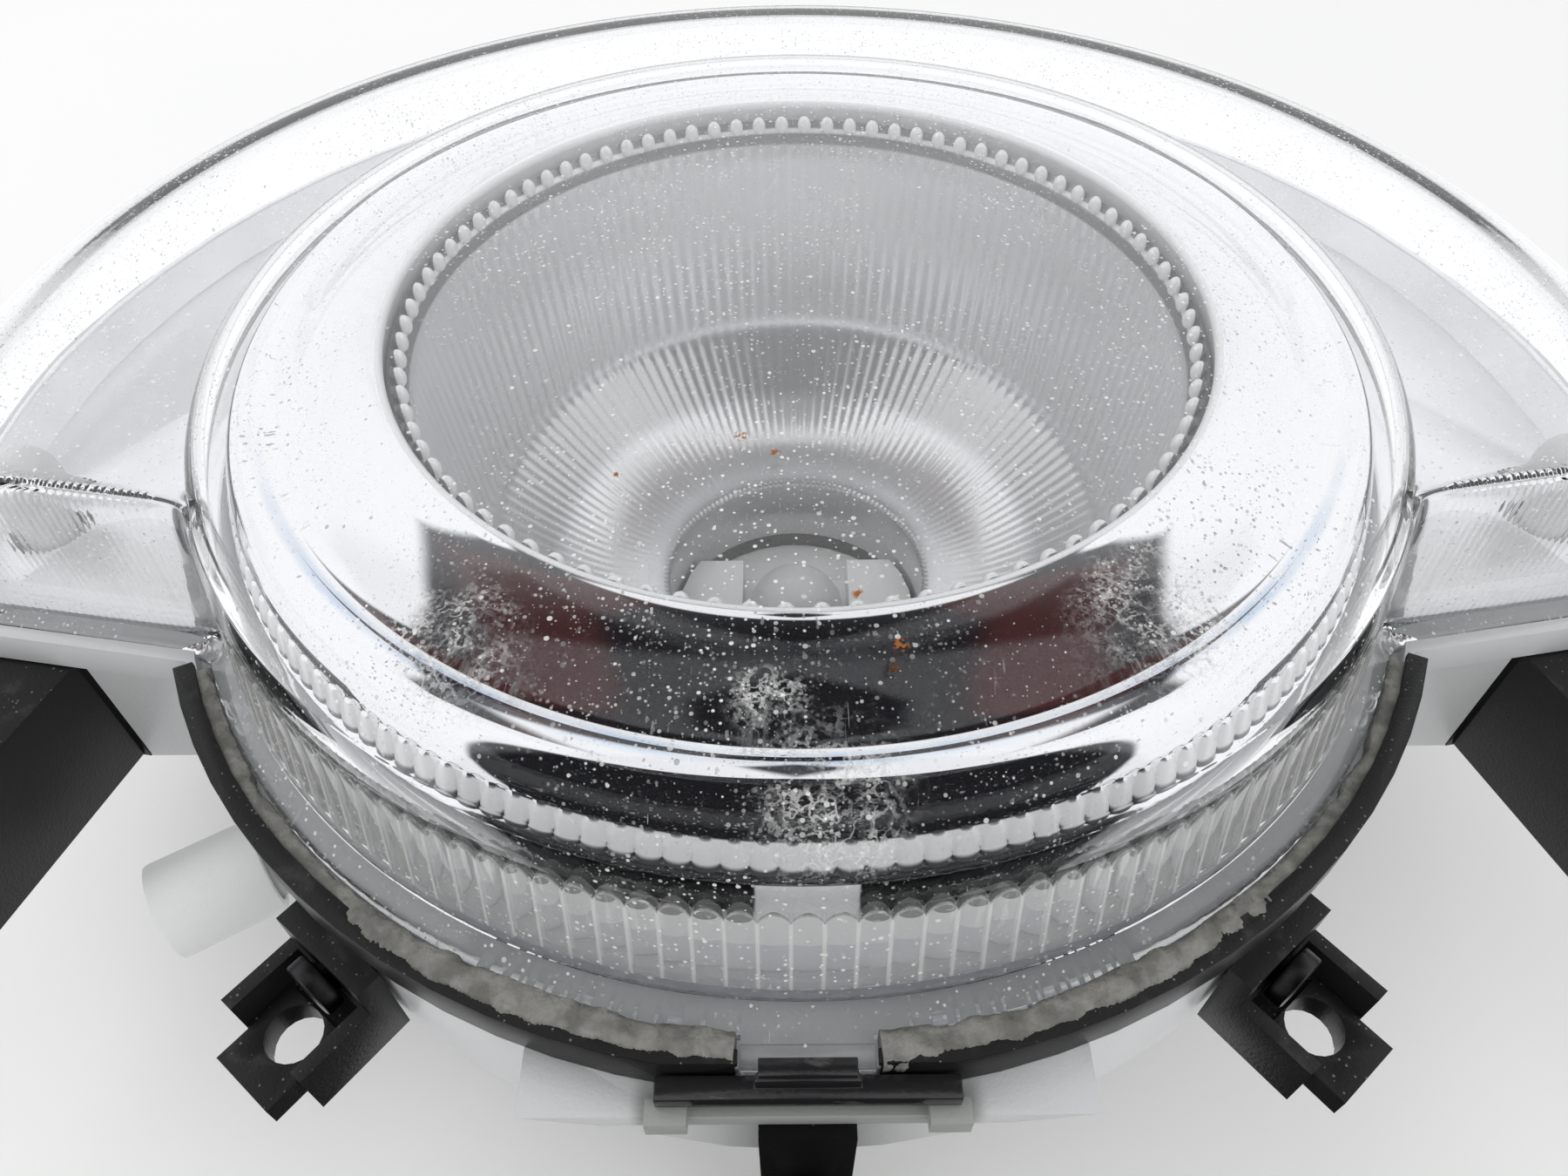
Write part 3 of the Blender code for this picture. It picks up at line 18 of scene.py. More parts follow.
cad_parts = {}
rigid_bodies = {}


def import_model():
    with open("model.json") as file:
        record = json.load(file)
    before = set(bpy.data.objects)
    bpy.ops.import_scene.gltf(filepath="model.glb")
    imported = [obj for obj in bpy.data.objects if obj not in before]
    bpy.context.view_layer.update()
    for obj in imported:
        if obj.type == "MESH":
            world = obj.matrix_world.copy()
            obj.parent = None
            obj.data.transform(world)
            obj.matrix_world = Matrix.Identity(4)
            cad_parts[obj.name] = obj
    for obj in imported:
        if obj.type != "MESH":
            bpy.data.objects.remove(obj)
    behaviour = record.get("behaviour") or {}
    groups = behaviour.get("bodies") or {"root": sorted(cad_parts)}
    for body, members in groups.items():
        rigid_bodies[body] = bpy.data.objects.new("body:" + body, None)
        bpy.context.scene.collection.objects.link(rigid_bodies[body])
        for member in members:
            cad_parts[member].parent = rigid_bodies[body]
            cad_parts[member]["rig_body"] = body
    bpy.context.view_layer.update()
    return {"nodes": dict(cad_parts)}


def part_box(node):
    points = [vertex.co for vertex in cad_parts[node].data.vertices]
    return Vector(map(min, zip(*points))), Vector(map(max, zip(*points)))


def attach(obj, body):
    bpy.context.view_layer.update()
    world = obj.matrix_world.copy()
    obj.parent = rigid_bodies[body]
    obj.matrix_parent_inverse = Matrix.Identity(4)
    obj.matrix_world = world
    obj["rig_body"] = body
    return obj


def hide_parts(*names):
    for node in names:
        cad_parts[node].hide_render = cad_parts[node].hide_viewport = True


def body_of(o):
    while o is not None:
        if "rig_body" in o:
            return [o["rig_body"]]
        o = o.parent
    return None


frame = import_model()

# %% [markdown]
# ## Where the lens axis is
# Nearly everything here is turned about the axis of the lens, so the easiest units are millimetres
# measured from that axis, with heights measured from the rim of the bowl. The chromed ring is round and
# its top lip stands a known distance over the rim, so its box gives both.

# %% Lens axis and rim height
MM = 0.001
LIP_RISE = 3.9
ring_low, ring_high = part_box("bezel_ring")
AXIS = Vector((0, (ring_low.y + ring_high.y) / 2, ring_high.z - LIP_RISE * MM))


def placed(points):
    """Millimetres about the lens axis, as metres in the model's own frame."""
    return np.asarray(points, float) * MM + np.array(AXIS)


print("rim centre", [round(v, 5) for v in AXIS])

# %% [markdown]
# ## Meshes from rows of points
# A moulded or pressed part can be modelled by hand, by modifiers, or as a grid of points from a formula.
# The formula suits flutes and beads, because their count and depth stay exact. `skin` turns rows of
# points into faces: each row goes round the piece, and the first and last row either meet, as on a
# ring, or are closed by a fan, as on a dome.


# %% Mesh helpers
def skin(rows, capped):
    """Points and faces of a closed surface through rows that each go round the piece."""
    grid = np.asarray(rows, float)
    count, across = grid.shape[:2]
    ids = np.arange(count * across).reshape(count, across)
    here, below = (ids[:-1], ids[1:]) if capped else (ids, np.roll(ids, -1, 0))
    quads = np.stack([here, np.roll(here, -1, 1), np.roll(below, -1, 1), below], -1)
    points = grid.reshape(-1, 3)
    faces = quads.reshape(-1, 4).tolist()
    for row in (0, count - 1) if capped else ():
        middle = len(points)
        points = np.vstack([points, grid[row].mean(0)])
        faces += [[a, b, middle] for a, b in zip(ids[row], np.roll(ids[row], -1))]
    return points, faces


def gathered(parts):
    """Several point-and-face pairs as one."""
    points, faces = [], []
    for some_points, some_faces in parts:
        start = sum(len(p) for p in points)
        points.append(np.asarray(some_points))
        faces += [[i + start for i in face] for face in some_faces]
    return np.vstack(points), faces


def piece(name, points, faces, body, replaces=(), crease=40):
    """A smooth-shaded object in metres that rides on a body and stands for some solids."""
    mesh = bpy.data.meshes.new(name)
    mesh.from_pydata(np.asarray(points).tolist(), [], faces)
    shape = bmesh.new()
    shape.from_mesh(mesh)
    bmesh.ops.recalc_face_normals(shape, faces=shape.faces)
    shape.to_mesh(mesh)
    shape.free()
    mesh.shade_smooth()
    mesh.set_sharp_from_angle(angle=radians(crease))
    made = bpy.data.objects.new(name, mesh)
    bpy.context.scene.collection.objects.link(made)
    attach(made, body)
    if replaces:
        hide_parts(*replaces)
    print(name, len(mesh.polygons), "faces on", body)
    return made


# %% [markdown]
# ## Edges that catch the light
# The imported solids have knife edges, and no moulded part has. `eased` takes a solid's own mesh, joins
# its loose triangles, rounds every edge that is sharper than a limit, and lets the result stand for the
# solid. A Bevel modifier on the solid itself would do nothing, because its triangles share no points.


# %% Rounded copies of solids
EASE_ANGLE = radians(30)
FLAT_ANGLE = radians(1)


def eased(node, edge, crease=32):
    """A solid's shape with rounded edges, in place of the solid."""
    shape = bmesh.new()
    shape.from_mesh(frame["nodes"][node].data)
    bmesh.ops.remove_doubles(shape, verts=shape.verts, dist=1e-6)
    bmesh.ops.dissolve_limit(shape, angle_limit=FLAT_ANGLE, verts=shape.verts, edges=shape.edges)
    sharp = [e for e in shape.edges if len(e.link_faces) == 2 and e.calc_face_angle() > EASE_ANGLE]
    if edge:
        bmesh.ops.bevel(shape, geom=sharp, offset=edge * MM, segments=2, profile=0.5,
                        affect="EDGES", clamp_overlap=True)
    shape.verts.index_update()
    points = [tuple(v.co) for v in shape.verts]
    faces = [[v.index for v in face.verts] for face in shape.faces]
    shape.free()
    body = body_of(frame["nodes"][node])[0]
    return piece(node + "_eased", points, faces, body, [node], crease)


# %% [markdown]
# ## Writing finishes as sums
# Blender's materials are node trees. Wiring each node by hand hides the idea, so a socket is wrapped in
# a small class: `1 - dust * 0.5` then adds the Math nodes by itself. Every other node comes from one
# method, which sets the node's options first and then its sockets.


# %% Shader helpers
class Wire:
    """One node output, on which Python's signs add Math nodes."""

    def __init__(self, bench, socket):
        self.bench = bench
        self.socket = socket

    def math(self, operation, first, second=0.0):
        return self.bench.node("Math", {"operation": operation}, {0: first, 1: second})

    def __add__(self, other):
        return self.math("ADD", self, other)

    def __sub__(self, other):
        return self.math("SUBTRACT", self, other)

    def __rsub__(self, other):
        return self.math("SUBTRACT", other, self)

    def __mul__(self, other):
        return self.math("MULTIPLY", self, other)

    def __truediv__(self, other):
        return self.math("DIVIDE", self, other)

    def __rtruediv__(self, other):
        return self.math("DIVIDE", other, self)

    def __pow__(self, other):
        return self.math("POWER", self, other)

    def __lt__(self, other):
        return self.math("LESS_THAN", self, other)

    def __gt__(self, other):
        return self.math("GREATER_THAN", self, other)

    def __abs__(self):
        return self.math("ABSOLUTE", self)

    __radd__ = __add__
    __rmul__ = __mul__

    def most(self, other):
        return self.math("MAXIMUM", self, other)

    def rise(self, low, high):
        """0 under low, 1 over high, and a smooth step between."""
        return self.bench.node("MapRange", {"interpolation_type": "SMOOTHSTEP"},
                               {"Value": self, "From Min": low, "From Max": high})

    def between(self, low, high, soft):
        return self.rise(low - soft, low + soft) * (1 - self.rise(high - soft, high + soft))

    def tint(self, off, on):
        """A colour that goes from off to on as this value goes from 0 to 1."""
        return self.bench.node("Mix", {"data_type": "RGBA"}, {0: self, 6: off, 7: on}, 2)


class Bench:
    """A node tree and the one method that adds to it."""

    def __init__(self, tree):
        self.tree = tree

    def node(self, kind, settings=None, sockets=None, out=0):
        made = self.tree.nodes.new("ShaderNode" + kind)
        for key, value in (settings or {}).items():
            setattr(made, key, value)
        for key, value in (sockets or {}).items():
            self.set(made.inputs[key], value)
        return Wire(self, made.outputs[out])

    def set(self, socket, value):
        if isinstance(value, Wire):
            self.tree.links.new(value.socket, socket)
        elif socket.type == "RGBA":
            socket.default_value = (*value[:3], 1)
        else:
            socket.default_value = value

    def place(self):
        return self.node("TexCoord", out="Object")

    def about_axis(self):
        """Millimetres from the lens axis along X and Y, and up from the rim."""
        spot = self.node("VectorMath", {"operation": "SUBTRACT"}, {0: self.place(), 1: tuple(AXIS)})
        axes = self.node("SeparateXYZ", {}, {0: spot}, "X").socket.node.outputs
        return [Wire(self, axes[key]) / MM for key in "XYZ"]

    def from_axis(self):
        x, y, _ = self.about_axis()
        return (x ** 2 + y ** 2) ** 0.5

    def near_side(self, low, high):
        """0 up to a distance low on the near side of the axis, 1 past a distance high."""
        return (0 - self.about_axis()[1]).rise(low, high)

    def noise(self, scale, detail=3, stretch=(1, 1, 1)):
        spot = self.node("Mapping", {}, {"Vector": self.place(), "Scale": stretch})
        return self.node("TexNoise", {}, {"Vector": spot, "Scale": scale, "Detail": detail})

    def specks(self, scale, size):
        """Round specks: cells of a Voronoi pattern, each with its own reach."""
        cells = self.node("TexVoronoi", {}, {"Vector": self.place(), "Scale": scale}, "Distance")
        chance = self.tree.nodes[-1].outputs["Color"]
        reach = self.node("SeparateColor", {}, {"Color": Wire(self, chance)}, "Red")
        return cells < reach ** 3 * size


class Finish(Bench):
    """A material with its main shader at hand."""

    def __init__(self, name, **sockets):
        self.made = bpy.data.materials.new(name)
        self.made.use_nodes = True
        super().__init__(self.made.node_tree)
        self.shader = self.tree.nodes["Principled BSDF"]
        self.surface = self.tree.nodes["Material Output"].inputs["Surface"]
        self.give(**sockets)

    def give(self, **sockets):
        """Sets shader sockets, named with _ for a space."""
        for key, value in sockets.items():
            self.set(self.shader.inputs[key.replace("_", " ")], value)

    def bump(self, height, strength, distance=0.0002):
        settings = {"Height": height, "Strength": strength, "Distance": distance}
        self.give(Normal=self.node("Bump", {}, settings))

    def paint(self, factor, colour):
        """Lays a colour over the base colour where factor is 1."""
        under = Wire(self, self.shader.inputs["Base Color"].links[0].from_socket)
        self.give(Base_Color=self.node("Mix", {"data_type": "RGBA"}, {0: factor, 6: under, 7: colour}, 2))

    def blend(self, factor, other):
        """Lays another shader over the surface where factor is 1."""
        under = Wire(self, self.surface.links[0].from_socket)
        over = self.node("MixShader", {}, {0: factor, 1: under, 2: other})
        self.set(self.surface, over)

    def wear(self, *pieces, slot):
        for each in pieces:
            each.data.materials.clear()
            each.data.materials.append(self.made)


# %% [markdown]
# ## The lens
# The lens is one clear moulding, about 2 mm thick, and nearly all that shows of it is bent light. So it
# is made as a closed shell with an outer and an inner skin, and the flutes stand on the outer one.
# Seen from above, the drum is a circle and the crescent is a larger circle with its near side cut off by
# two swept lines, so for each direction from the axis the outline is the farther of the two. That makes a
# grid: one column per direction, one row per height, with more columns where the outline turns quickly.

# %% Lens sizes
CROWN = 7.0
CROWN_FALL = 1.2
PLATEAU_R = 60.0
SHOULDER_RUN = 14.6
SHOULDER_RISE = 14.8
SHOULDER_POWER = 2.6
SKIRT_TOP = -9.0
SKIRT_FLARE = 2.0
SKIRT_FOOT = -22.5
FLANGE_WIDTH = 2.7
FLANGE_TOP = -24.4
SEAT = -26.0
LENS_WALL = 2.0
ROOF = -1.0
ROOF_FALL = 0.6
CRESCENT = (115.0, 41.9)
CRESCENT_RUN = (20.0, 1.0)
CRESCENT_ROUND = 20.0
SWEEP = radians(9.7)
CRESCENT_FLANGE = 2.5
CORNER = 10.0
BLEND = 2.4
TAB_HALF = 6.3
TAB_END = 82.3
FLUTES = 156
FLUTE_COLUMNS = 12
FLUTE_STEP = 0.12
FLUTE_DEPTH = 0.13
FLUTE_TOP = -9.5
FLUTE_HILL = 1.9
FLUTE_FOOT = -20.4


# %% Lens outline
def stretch(first, last, step):
    return np.arange(first, last, step)


tab_edges = [-90 + side * (degrees(np.arctan2(TAB_HALF, TAB_END)) + nudge)
             for side in (-1, 1) for nudge in (-0.02, 0.02)]
near_columns = np.arange(-27.5 * FLUTE_COLUMNS, 27.5 * FLUTE_COLUMNS + 1)
lens_degrees = np.unique(np.concatenate([
    -90 + near_columns * 360 / FLUTES / FLUTE_COLUMNS, tab_edges,
    stretch(-26.4, -12, 0.06), stretch(-12, -7, 0.25), stretch(-7, 187, 1.2),
    stretch(187, 192, 0.25), stretch(192, 206.4, 0.06)]))
lens_turn = np.radians(lens_degrees)


def crescent_reach(radius, chord):
    """How far the crescent reaches from the lens axis in each column's direction."""
    x = np.abs(np.cos(lens_turn))
    y = np.sin(lens_turn)
    off = chord * cos(SWEEP) - CORNER
    down_line = np.sqrt((radius - CORNER) ** 2 - off ** 2)
    middle_x = down_line * cos(SWEEP) + off * sin(SWEEP)
    middle_y = down_line * sin(SWEEP) - off * cos(SWEEP)
    along = x * middle_x + y * middle_y
    corner = along + np.sqrt(np.maximum(along ** 2 - (radius - CORNER) ** 2 + CORNER ** 2, 0))
    way = np.arctan2(y, x)
    round_part = np.where(way > np.arctan2(middle_y, middle_x), radius, corner)
    flat = chord / np.maximum(x * np.tan(SWEEP) - y, 1e-6)
    flat_end = np.arctan2(middle_y - CORNER * cos(SWEEP), middle_x + CORNER * sin(SWEEP))
    return np.where(way < flat_end, flat, round_part)


def drum_radius(z, inset=0.0):
    """Radius of the drum at some height, on its rounded shoulder or its flared skirt."""
    up = np.clip((z - SKIRT_TOP) / (SHOULDER_RISE - inset), 0, 1)
    shoulder = PLATEAU_R + (SHOULDER_RUN - inset) * (1 - up ** SHOULDER_POWER) ** (1 / SHOULDER_POWER)
    return shoulder + SKIRT_FLARE * np.clip((SKIRT_TOP - z) / (SKIRT_TOP - SKIRT_FOOT), 0, 1)


def lens_row(z, drum, crescent=None, share=1.0):
    """One row: the drum, grown by a share of the way to the crescent where that reaches further."""
    reach = np.zeros_like(lens_turn) + drum
    if crescent:
        beyond = crescent_reach(*crescent) - reach
        reach = reach + share * (beyond + np.sqrt(beyond ** 2 + BLEND ** 2)) / 2
    height = np.zeros_like(lens_turn) + z
    return np.stack([reach * np.cos(lens_turn), reach * np.sin(lens_turn), height], -1)


print(len(lens_turn), "columns round the lens")


# %% Rows of the lens, from the crown down
def crescent_edge(z, inset=0.0):
    """Outline of the crescent at some height of its rounded edge, as its radius and chord."""
    up = np.clip((z - ROOF + CRESCENT_ROUND) / (CRESCENT_ROUND - inset), 0, 1)
    inward = 1 - (1 - up ** SHOULDER_POWER) ** (1 / SHOULDER_POWER)
    return [size - inset - run * inward for size, run in zip(CRESCENT, CRESCENT_RUN)]


def rounding_heights(inset, low):
    """Heights down the rounded edge of the crescent's roof, close together at the top."""
    turns = np.radians(np.linspace(82, 2, 14))
    heights = ROOF - CRESCENT_ROUND + (CRESCENT_ROUND - inset) * np.sin(turns) ** (2 / SHOULDER_POWER)
    return heights[heights > low]


def upper_rows(inset, low):
    """Crown, shoulder, crescent roof and its rounded edge down to some height, for either skin."""
    rows = []
    for r in (2, 8, 16, 24, 32, 40, 48, 54, 58):
        rows.append(lens_row(CROWN - inset - CROWN_FALL * (r / PLATEAU_R) ** 2, r))
    top = SKIRT_TOP + SHOULDER_RISE - inset
    roof = ROOF - inset
    for share in np.linspace(0, 1, 14)[1:]:
        z = top + (roof + ROOF_FALL - top) * share ** 1.8
        rows.append(lens_row(z, drum_radius(z, inset)))
    edge = [size - inset - run for size, run in zip(CRESCENT, CRESCENT_RUN)]
    for share in np.linspace(0, 1, 8)[1:]:
        z = roof + ROOF_FALL * (1 - share)
        rows.append(lens_row(z, drum_radius(z, inset), edge, share))
    for z in rounding_heights(inset, low):
        rows.append(lens_row(z, drum_radius(z, inset), crescent_edge(z, inset)))
    return rows


def with_tab(row):
    """Pulls a row of the flange out to the tab on its near side."""
    tab = (np.abs(row[:, 0]) < TAB_HALF + 0.01) & (row[:, 1] < 0)
    row[tab, 0] *= TAB_END / -row[tab, 1]
    row[tab, 1] = -TAB_END
    return row


# %% [markdown]
# ### Flutes
# The skirt of the lens carries about 156 upright flutes. Each is a rounded rib that starts in an arch
# under the shoulder, so together the arches draw the wavy line that runs round the lens. A bump map
# would not bend the view through the wall, so the ribs are real: two rows follow the wavy line, one just
# over it on the smooth wall and one just under it on the ribs. On the straight near walls of the
# crescent the ribs are finer and very shallow, sit inside, and end at the top in a row of small teeth.

# %% Outer rows
arch = np.abs(np.cos(np.radians((lens_degrees + 90) * FLUTES / 2))) ** 0.8
open_wall = np.clip((drum_radius(-15.0) - crescent_reach(*CRESCENT)) / 4, 0, 1)
rib_depth = open_wall * (FLUTE_STEP + FLUTE_DEPTH * arch)
wave_top = FLUTE_TOP + FLUTE_HILL * arch * open_wall
WAVE_OVER = FLUTE_TOP + FLUTE_HILL + 0.3


def wall_row(z, inset=0.0, ribs=0.0):
    """A row of the skirt and the crescent's edge, with a share of the ribs on the drum."""
    return lens_row(z, drum_radius(z, inset) + ribs * rib_depth, crescent_edge(z, inset))


outer_rows = upper_rows(0, WAVE_OVER) + [wall_row(wave_top + 0.1), wall_row(wave_top - 0.1, ribs=1.0)]
outer_rows += [wall_row(z, ribs=1.0) for z in (-11.0, -13.0, -15.0, -17.0, -19.0, FLUTE_FOOT + 0.3)]
outer_rows += [wall_row(FLUTE_FOOT), lens_row(SKIRT_FOOT, drum_radius(SKIRT_FOOT), CRESCENT)]
lip = [size + CRESCENT_FLANGE for size in CRESCENT]
slope_drop = SKIRT_FOOT - FLANGE_TOP
for z, outline in ((-23.2, CRESCENT), (-24.0, CRESCENT), (-24.2, [s - 0.25 for s in lip])):
    slope = FLANGE_WIDTH * (SKIRT_FOOT - z) / slope_drop
    outer_rows.append(lens_row(z, drum_radius(z) + slope, outline))
flange_r = drum_radius(SKIRT_FOOT) + FLANGE_WIDTH
for z, inward in ((FLANGE_TOP, 0), (SEAT + 0.15, 0), (SEAT, 0.15)):
    outer_rows.append(with_tab(lens_row(z, flange_r - inward, [s - inward for s in lip])))
print(len(outer_rows), "rows outside")

# %% Inner rows and the whole lens
WING_RIB = 1.0
WING_RIB_DEPTH = 0.03
WING_TEETH_DEPTH = 0.16
WING_TEETH_LOW = -4.0


def wing_ribs(row):
    """Fine upright ridges on the straight near walls of the crescent."""
    x = np.abs(row[:, 0])
    from_wall = x * np.tan(SWEEP) - row[:, 1] - CRESCENT[1] + LENS_WALL
    near = (np.abs(from_wall) < CRESCENT_RUN[1] + 0.3) & (x > 72)
    depth = WING_TEETH_DEPTH if row[:, 2].max() > WING_TEETH_LOW else WING_RIB_DEPTH
    row[near, 1] += depth * (x[near] / WING_RIB % 1.0)
    return row


inner_rows = upper_rows(LENS_WALL, WAVE_OVER)
wing_top = len(inner_rows) - len(rounding_heights(LENS_WALL, WAVE_OVER))
inner_rows += [wall_row(z, LENS_WALL) for z in (-8.5, -11.0, -14.0, -17.0, -20.0, SKIRT_FOOT, SEAT)]
inner_rows = inner_rows[:wing_top] + [wing_ribs(row) for row in inner_rows[wing_top:]]
lens_points, lens_faces = skin(outer_rows + inner_rows[::-1], capped=True)
lens = piece("clear_lens", placed(lens_points), lens_faces, "housing", ["front_lens"], crease=45)

# %% [markdown]
# ### Clear plastic that has been on the road
# Clean plastic alone would look like a soap bubble. What makes it read as a used lens is what lies on
# it: pale dust specks, hair scratches along the way it was wiped, a dried smear, and a few rust-brown
# flecks, and a pale haze over the flutes, thicker in their valleys, which is partly dirt and partly
# painted light for the light the ribs let through. Those are laid over the clear shader as a rough pale
# one, through a Mix Shader, with masks from Voronoi cells, noise and the flutes' formula. For shadows the
# lens counts as open, so that lamps reach the inside.

# %% Lens finish
DUST_SPOTS = ((2.1, -68.6, 1.0, 9.0), (-3.5, -60.0, 5.5, 5.0), (-33.0, -54.0, 3.5, 9.0), (34.0, -50.0, 4.5, 11.0))
FLECKS = ((-6.3, -28.0, 6.7, 1.0), (-2.7, -30.7, 6.7, 0.8), (8.6, -55.5, 5.9, 1.1), (5.0, -49.7, 6.2, 0.8),
          (-18.8, -33.6, 6.5, 0.6), (6.9, -76.9, -24.2, 0.7))


def near_spots(bench, spots):
    """1 at each named spot of the lens, falling to 0 at its reach."""
    mask = None
    for x, y, z, reach in spots:
        centre = placed((x, y, z))
        away = bench.node("VectorMath", {"operation": "DISTANCE"}, {0: bench.place(), 1: tuple(centre)}, "Value")
        spot = 1 - away.rise(reach * MM * 0.3, reach * MM)
        mask = spot if mask is None else mask.most(spot)
    return mask


def flute_haze_and_light(bench):
    """Pale haze on the flutes up to their arched tops, and more of it in the valleys between them: partly dirt,
    partly painted light.
    """
    x, y, up = bench.about_axis()
    turn = x.math("ARCTAN2", x, 0 - y)
    hump = abs(turn.math("COSINE", turn * (FLUTES / 2))) ** 0.8
    under_wave = (FLUTE_TOP + FLUTE_HILL * hump - up).rise(-0.08, 0.08)
    fluted = under_wave * up.rise(FLUTE_FOOT - 0.2, FLUTE_FOOT + 0.2) * bench.near_side(24, 30)
    return fluted * (0.2 + 0.3 * (1 - hump.rise(0.1, 0.45)))


def clear_plastic():
    made = Finish("clear_plastic", Base_Color=(0.982, 0.986, 0.99), Transmission_Weight=1.0, IOR=1.5)
    haze = made.noise(60, 4).rise(0.45, 0.8)
    made.give(Roughness=haze * 0.05)
    patch = made.noise(45, 3).rise(0.36, 0.62)
    fine = made.specks(1500, 0.34) * patch
    coarse = made.specks(600, 0.17)
    hair = (made.noise(420, 2, (9, 0.35, 1)) > 0.76) * made.noise(70, 2).rise(0.5, 0.6)
    veins = 1 - abs(made.noise(650, 4) - 0.5).rise(0.012, 0.05)
    dried = (veins * 0.7 + made.specks(2000, 0.5)) * made.noise(260, 3).rise(0.4, 0.6)
    smear = near_spots(made, DUST_SPOTS) * dried
    dust = fine.most(coarse * 0.8).most(hair * 0.4).most(smear * 0.8).most(flute_haze_and_light(made))
    flake = near_spots(made, FLECKS) * (made.noise(1500, 3) > 0.5)
    pale = made.node("BsdfDiffuse", {}, {"Color": (0.82, 0.82, 0.8)})
    rust = made.node("BsdfDiffuse", {}, {"Color": (0.3, 0.11, 0.03)})
    made.blend(dust * 0.8, pale)
    made.blend(flake, rust)
    open_air = made.node("BsdfTransparent", {}, {"Color": (0.95, 0.96, 0.97)})
    made.blend(made.node("LightPath", out="Is Shadow Ray"), open_air)
    return made


clear_plastic().wear(lens, slot="clear_plastic")
print("lens finished with", len(FLECKS), "flecks")

# %% [markdown]
# ## The chromed ring
# The ring round the bowl is a pressing with a rolled inner lip, a sloping plateau, a raised crease, and
# a rounded fall to a row of small pillows over its skirt. It is turned from a profile of points. The
# pillows are pushed out of the turned surface by a formula, arched at the top and straight below, which
# keeps ring and pillows one skin, as on the real one.

# %% Ring profile
PILLOWS = 172
PILLOW_STEPS = 12
PILLOW_RISE = 0.5
PILLOW_TOP = (69.54, -3.62)
PILLOW_FOOT = (70.55, -7.1)
PILLOW_ARCH = 0.62
RING_SKIRT_R = 71.4
RING_WALL = 1.3
ring_turn = 2 * pi * np.arange(PILLOWS * PILLOW_STEPS) / (PILLOWS * PILLOW_STEPS)


def arc(centre, radius, first, last, steps):
    """Points on an arc in the (radius, height) plane."""
    turns = np.radians(np.linspace(first, last, steps))
    return [(centre[0] + radius * cos(t), centre[1] + radius * sin(t)) for t in turns]


def turned(r, z):
    """A row of points round the ring."""
    return np.stack([r * np.cos(ring_turn), r * np.sin(ring_turn), np.zeros_like(ring_turn) + z], -1)


def pillow_row(share):
    """A row across the pillows, some share of the way from their arched tops to their feet."""
    run, drop = PILLOW_FOOT[0] - PILLOW_TOP[0], PILLOW_TOP[1] - PILLOW_FOOT[1]
    across = ring_turn * PILLOWS / (2 * pi) % 1 * 2 - 1
    short = max(1 - share / PILLOW_ARCH, 0)
    swell = PILLOW_RISE * np.sqrt(np.maximum(1 - across ** 2 - short ** 2, 0)) / np.hypot(run, drop)
    return turned(PILLOW_TOP[0] + run * share + swell * drop, PILLOW_TOP[1] - drop * share + swell * run)


# %% Ring
lip_edge = [(50.95, -1.3), (50.4, -1.3), (50.3, 1.4)] + arc((50.35, 3.25), 0.65, 215, 60, 8)
plateau = [(50.9, 3.72), (51.6, 3.45), (54, 3.1), (57, 2.6), (60, 1.95), (62.4, 1.35), (63.4, 1.15)]
crease = [(64.0, 1.2), (64.5, 1.32), (65.0, 1.3), (65.5, 1.05)]
fall = [(65.5 + 4.1 * sin(t), -4.6 + 5.65 * cos(t)) for t in np.radians(np.linspace(12, 79, 12))]
foot = [(70.57, -7.12), (71.25, -7.4), (71.35, -7.7), (RING_SKIRT_R, -10), (RING_SKIRT_R, -18), (RING_SKIRT_R, SEAT)]
inside = [(RING_SKIRT_R - RING_WALL, SEAT), (69.9, -11.3), (68.3, -8.3), (64.2, -0.2), (51.4, 2.3)]
ring_rows = [turned(r, z) for r, z in lip_edge + plateau + crease + fall]
ring_rows += [pillow_row(share) for share in np.linspace(0, 1, 14)]
ring_rows += [turned(r, z) for r, z in foot + inside]
ring_points, ring_faces = skin(ring_rows, capped=False)
ring = piece("chromed_ring", placed(ring_points), ring_faces, "housing", ["bezel_ring"], crease=50)

# %% [markdown]
# ## The bowl
# The bowl that throws the light has a steep wall and a shallow dish, both pressed into upright flutes,
# and a string of pearls round its rim. Wall and dish are turned with the flutes in the radius. The
# pearls are small ovals set into the rim, gathered into one mesh. Behind the bowl are the two pivot pins
# it tilts on and the ear that the aiming screw holds.

# %% Bowl with its flutes
BOWL_FLUTES = 140
BOWL_STEPS = 8
BOWL_FLUTE_DEPTH = 0.12
BOWL_WALL = 1.5
RIM_R = 48.0
FOOT_R = 45.0
FOOT_Z = -32.6
NECK_R = 19.5
FLOOR_Z = -46.0
NECK_END = -58.0
bowl_turn = 2 * pi * np.arange(BOWL_FLUTES * BOWL_STEPS) / (BOWL_FLUTES * BOWL_STEPS)
bowl_wave = 0.5 + 0.5 * np.cos(bowl_turn * BOWL_FLUTES)


def bowl_row(r, z, depth):
    reach = r + depth * bowl_wave
    return np.stack([reach * np.cos(bowl_turn), reach * np.sin(bowl_turn), np.zeros_like(bowl_turn) + z], -1)


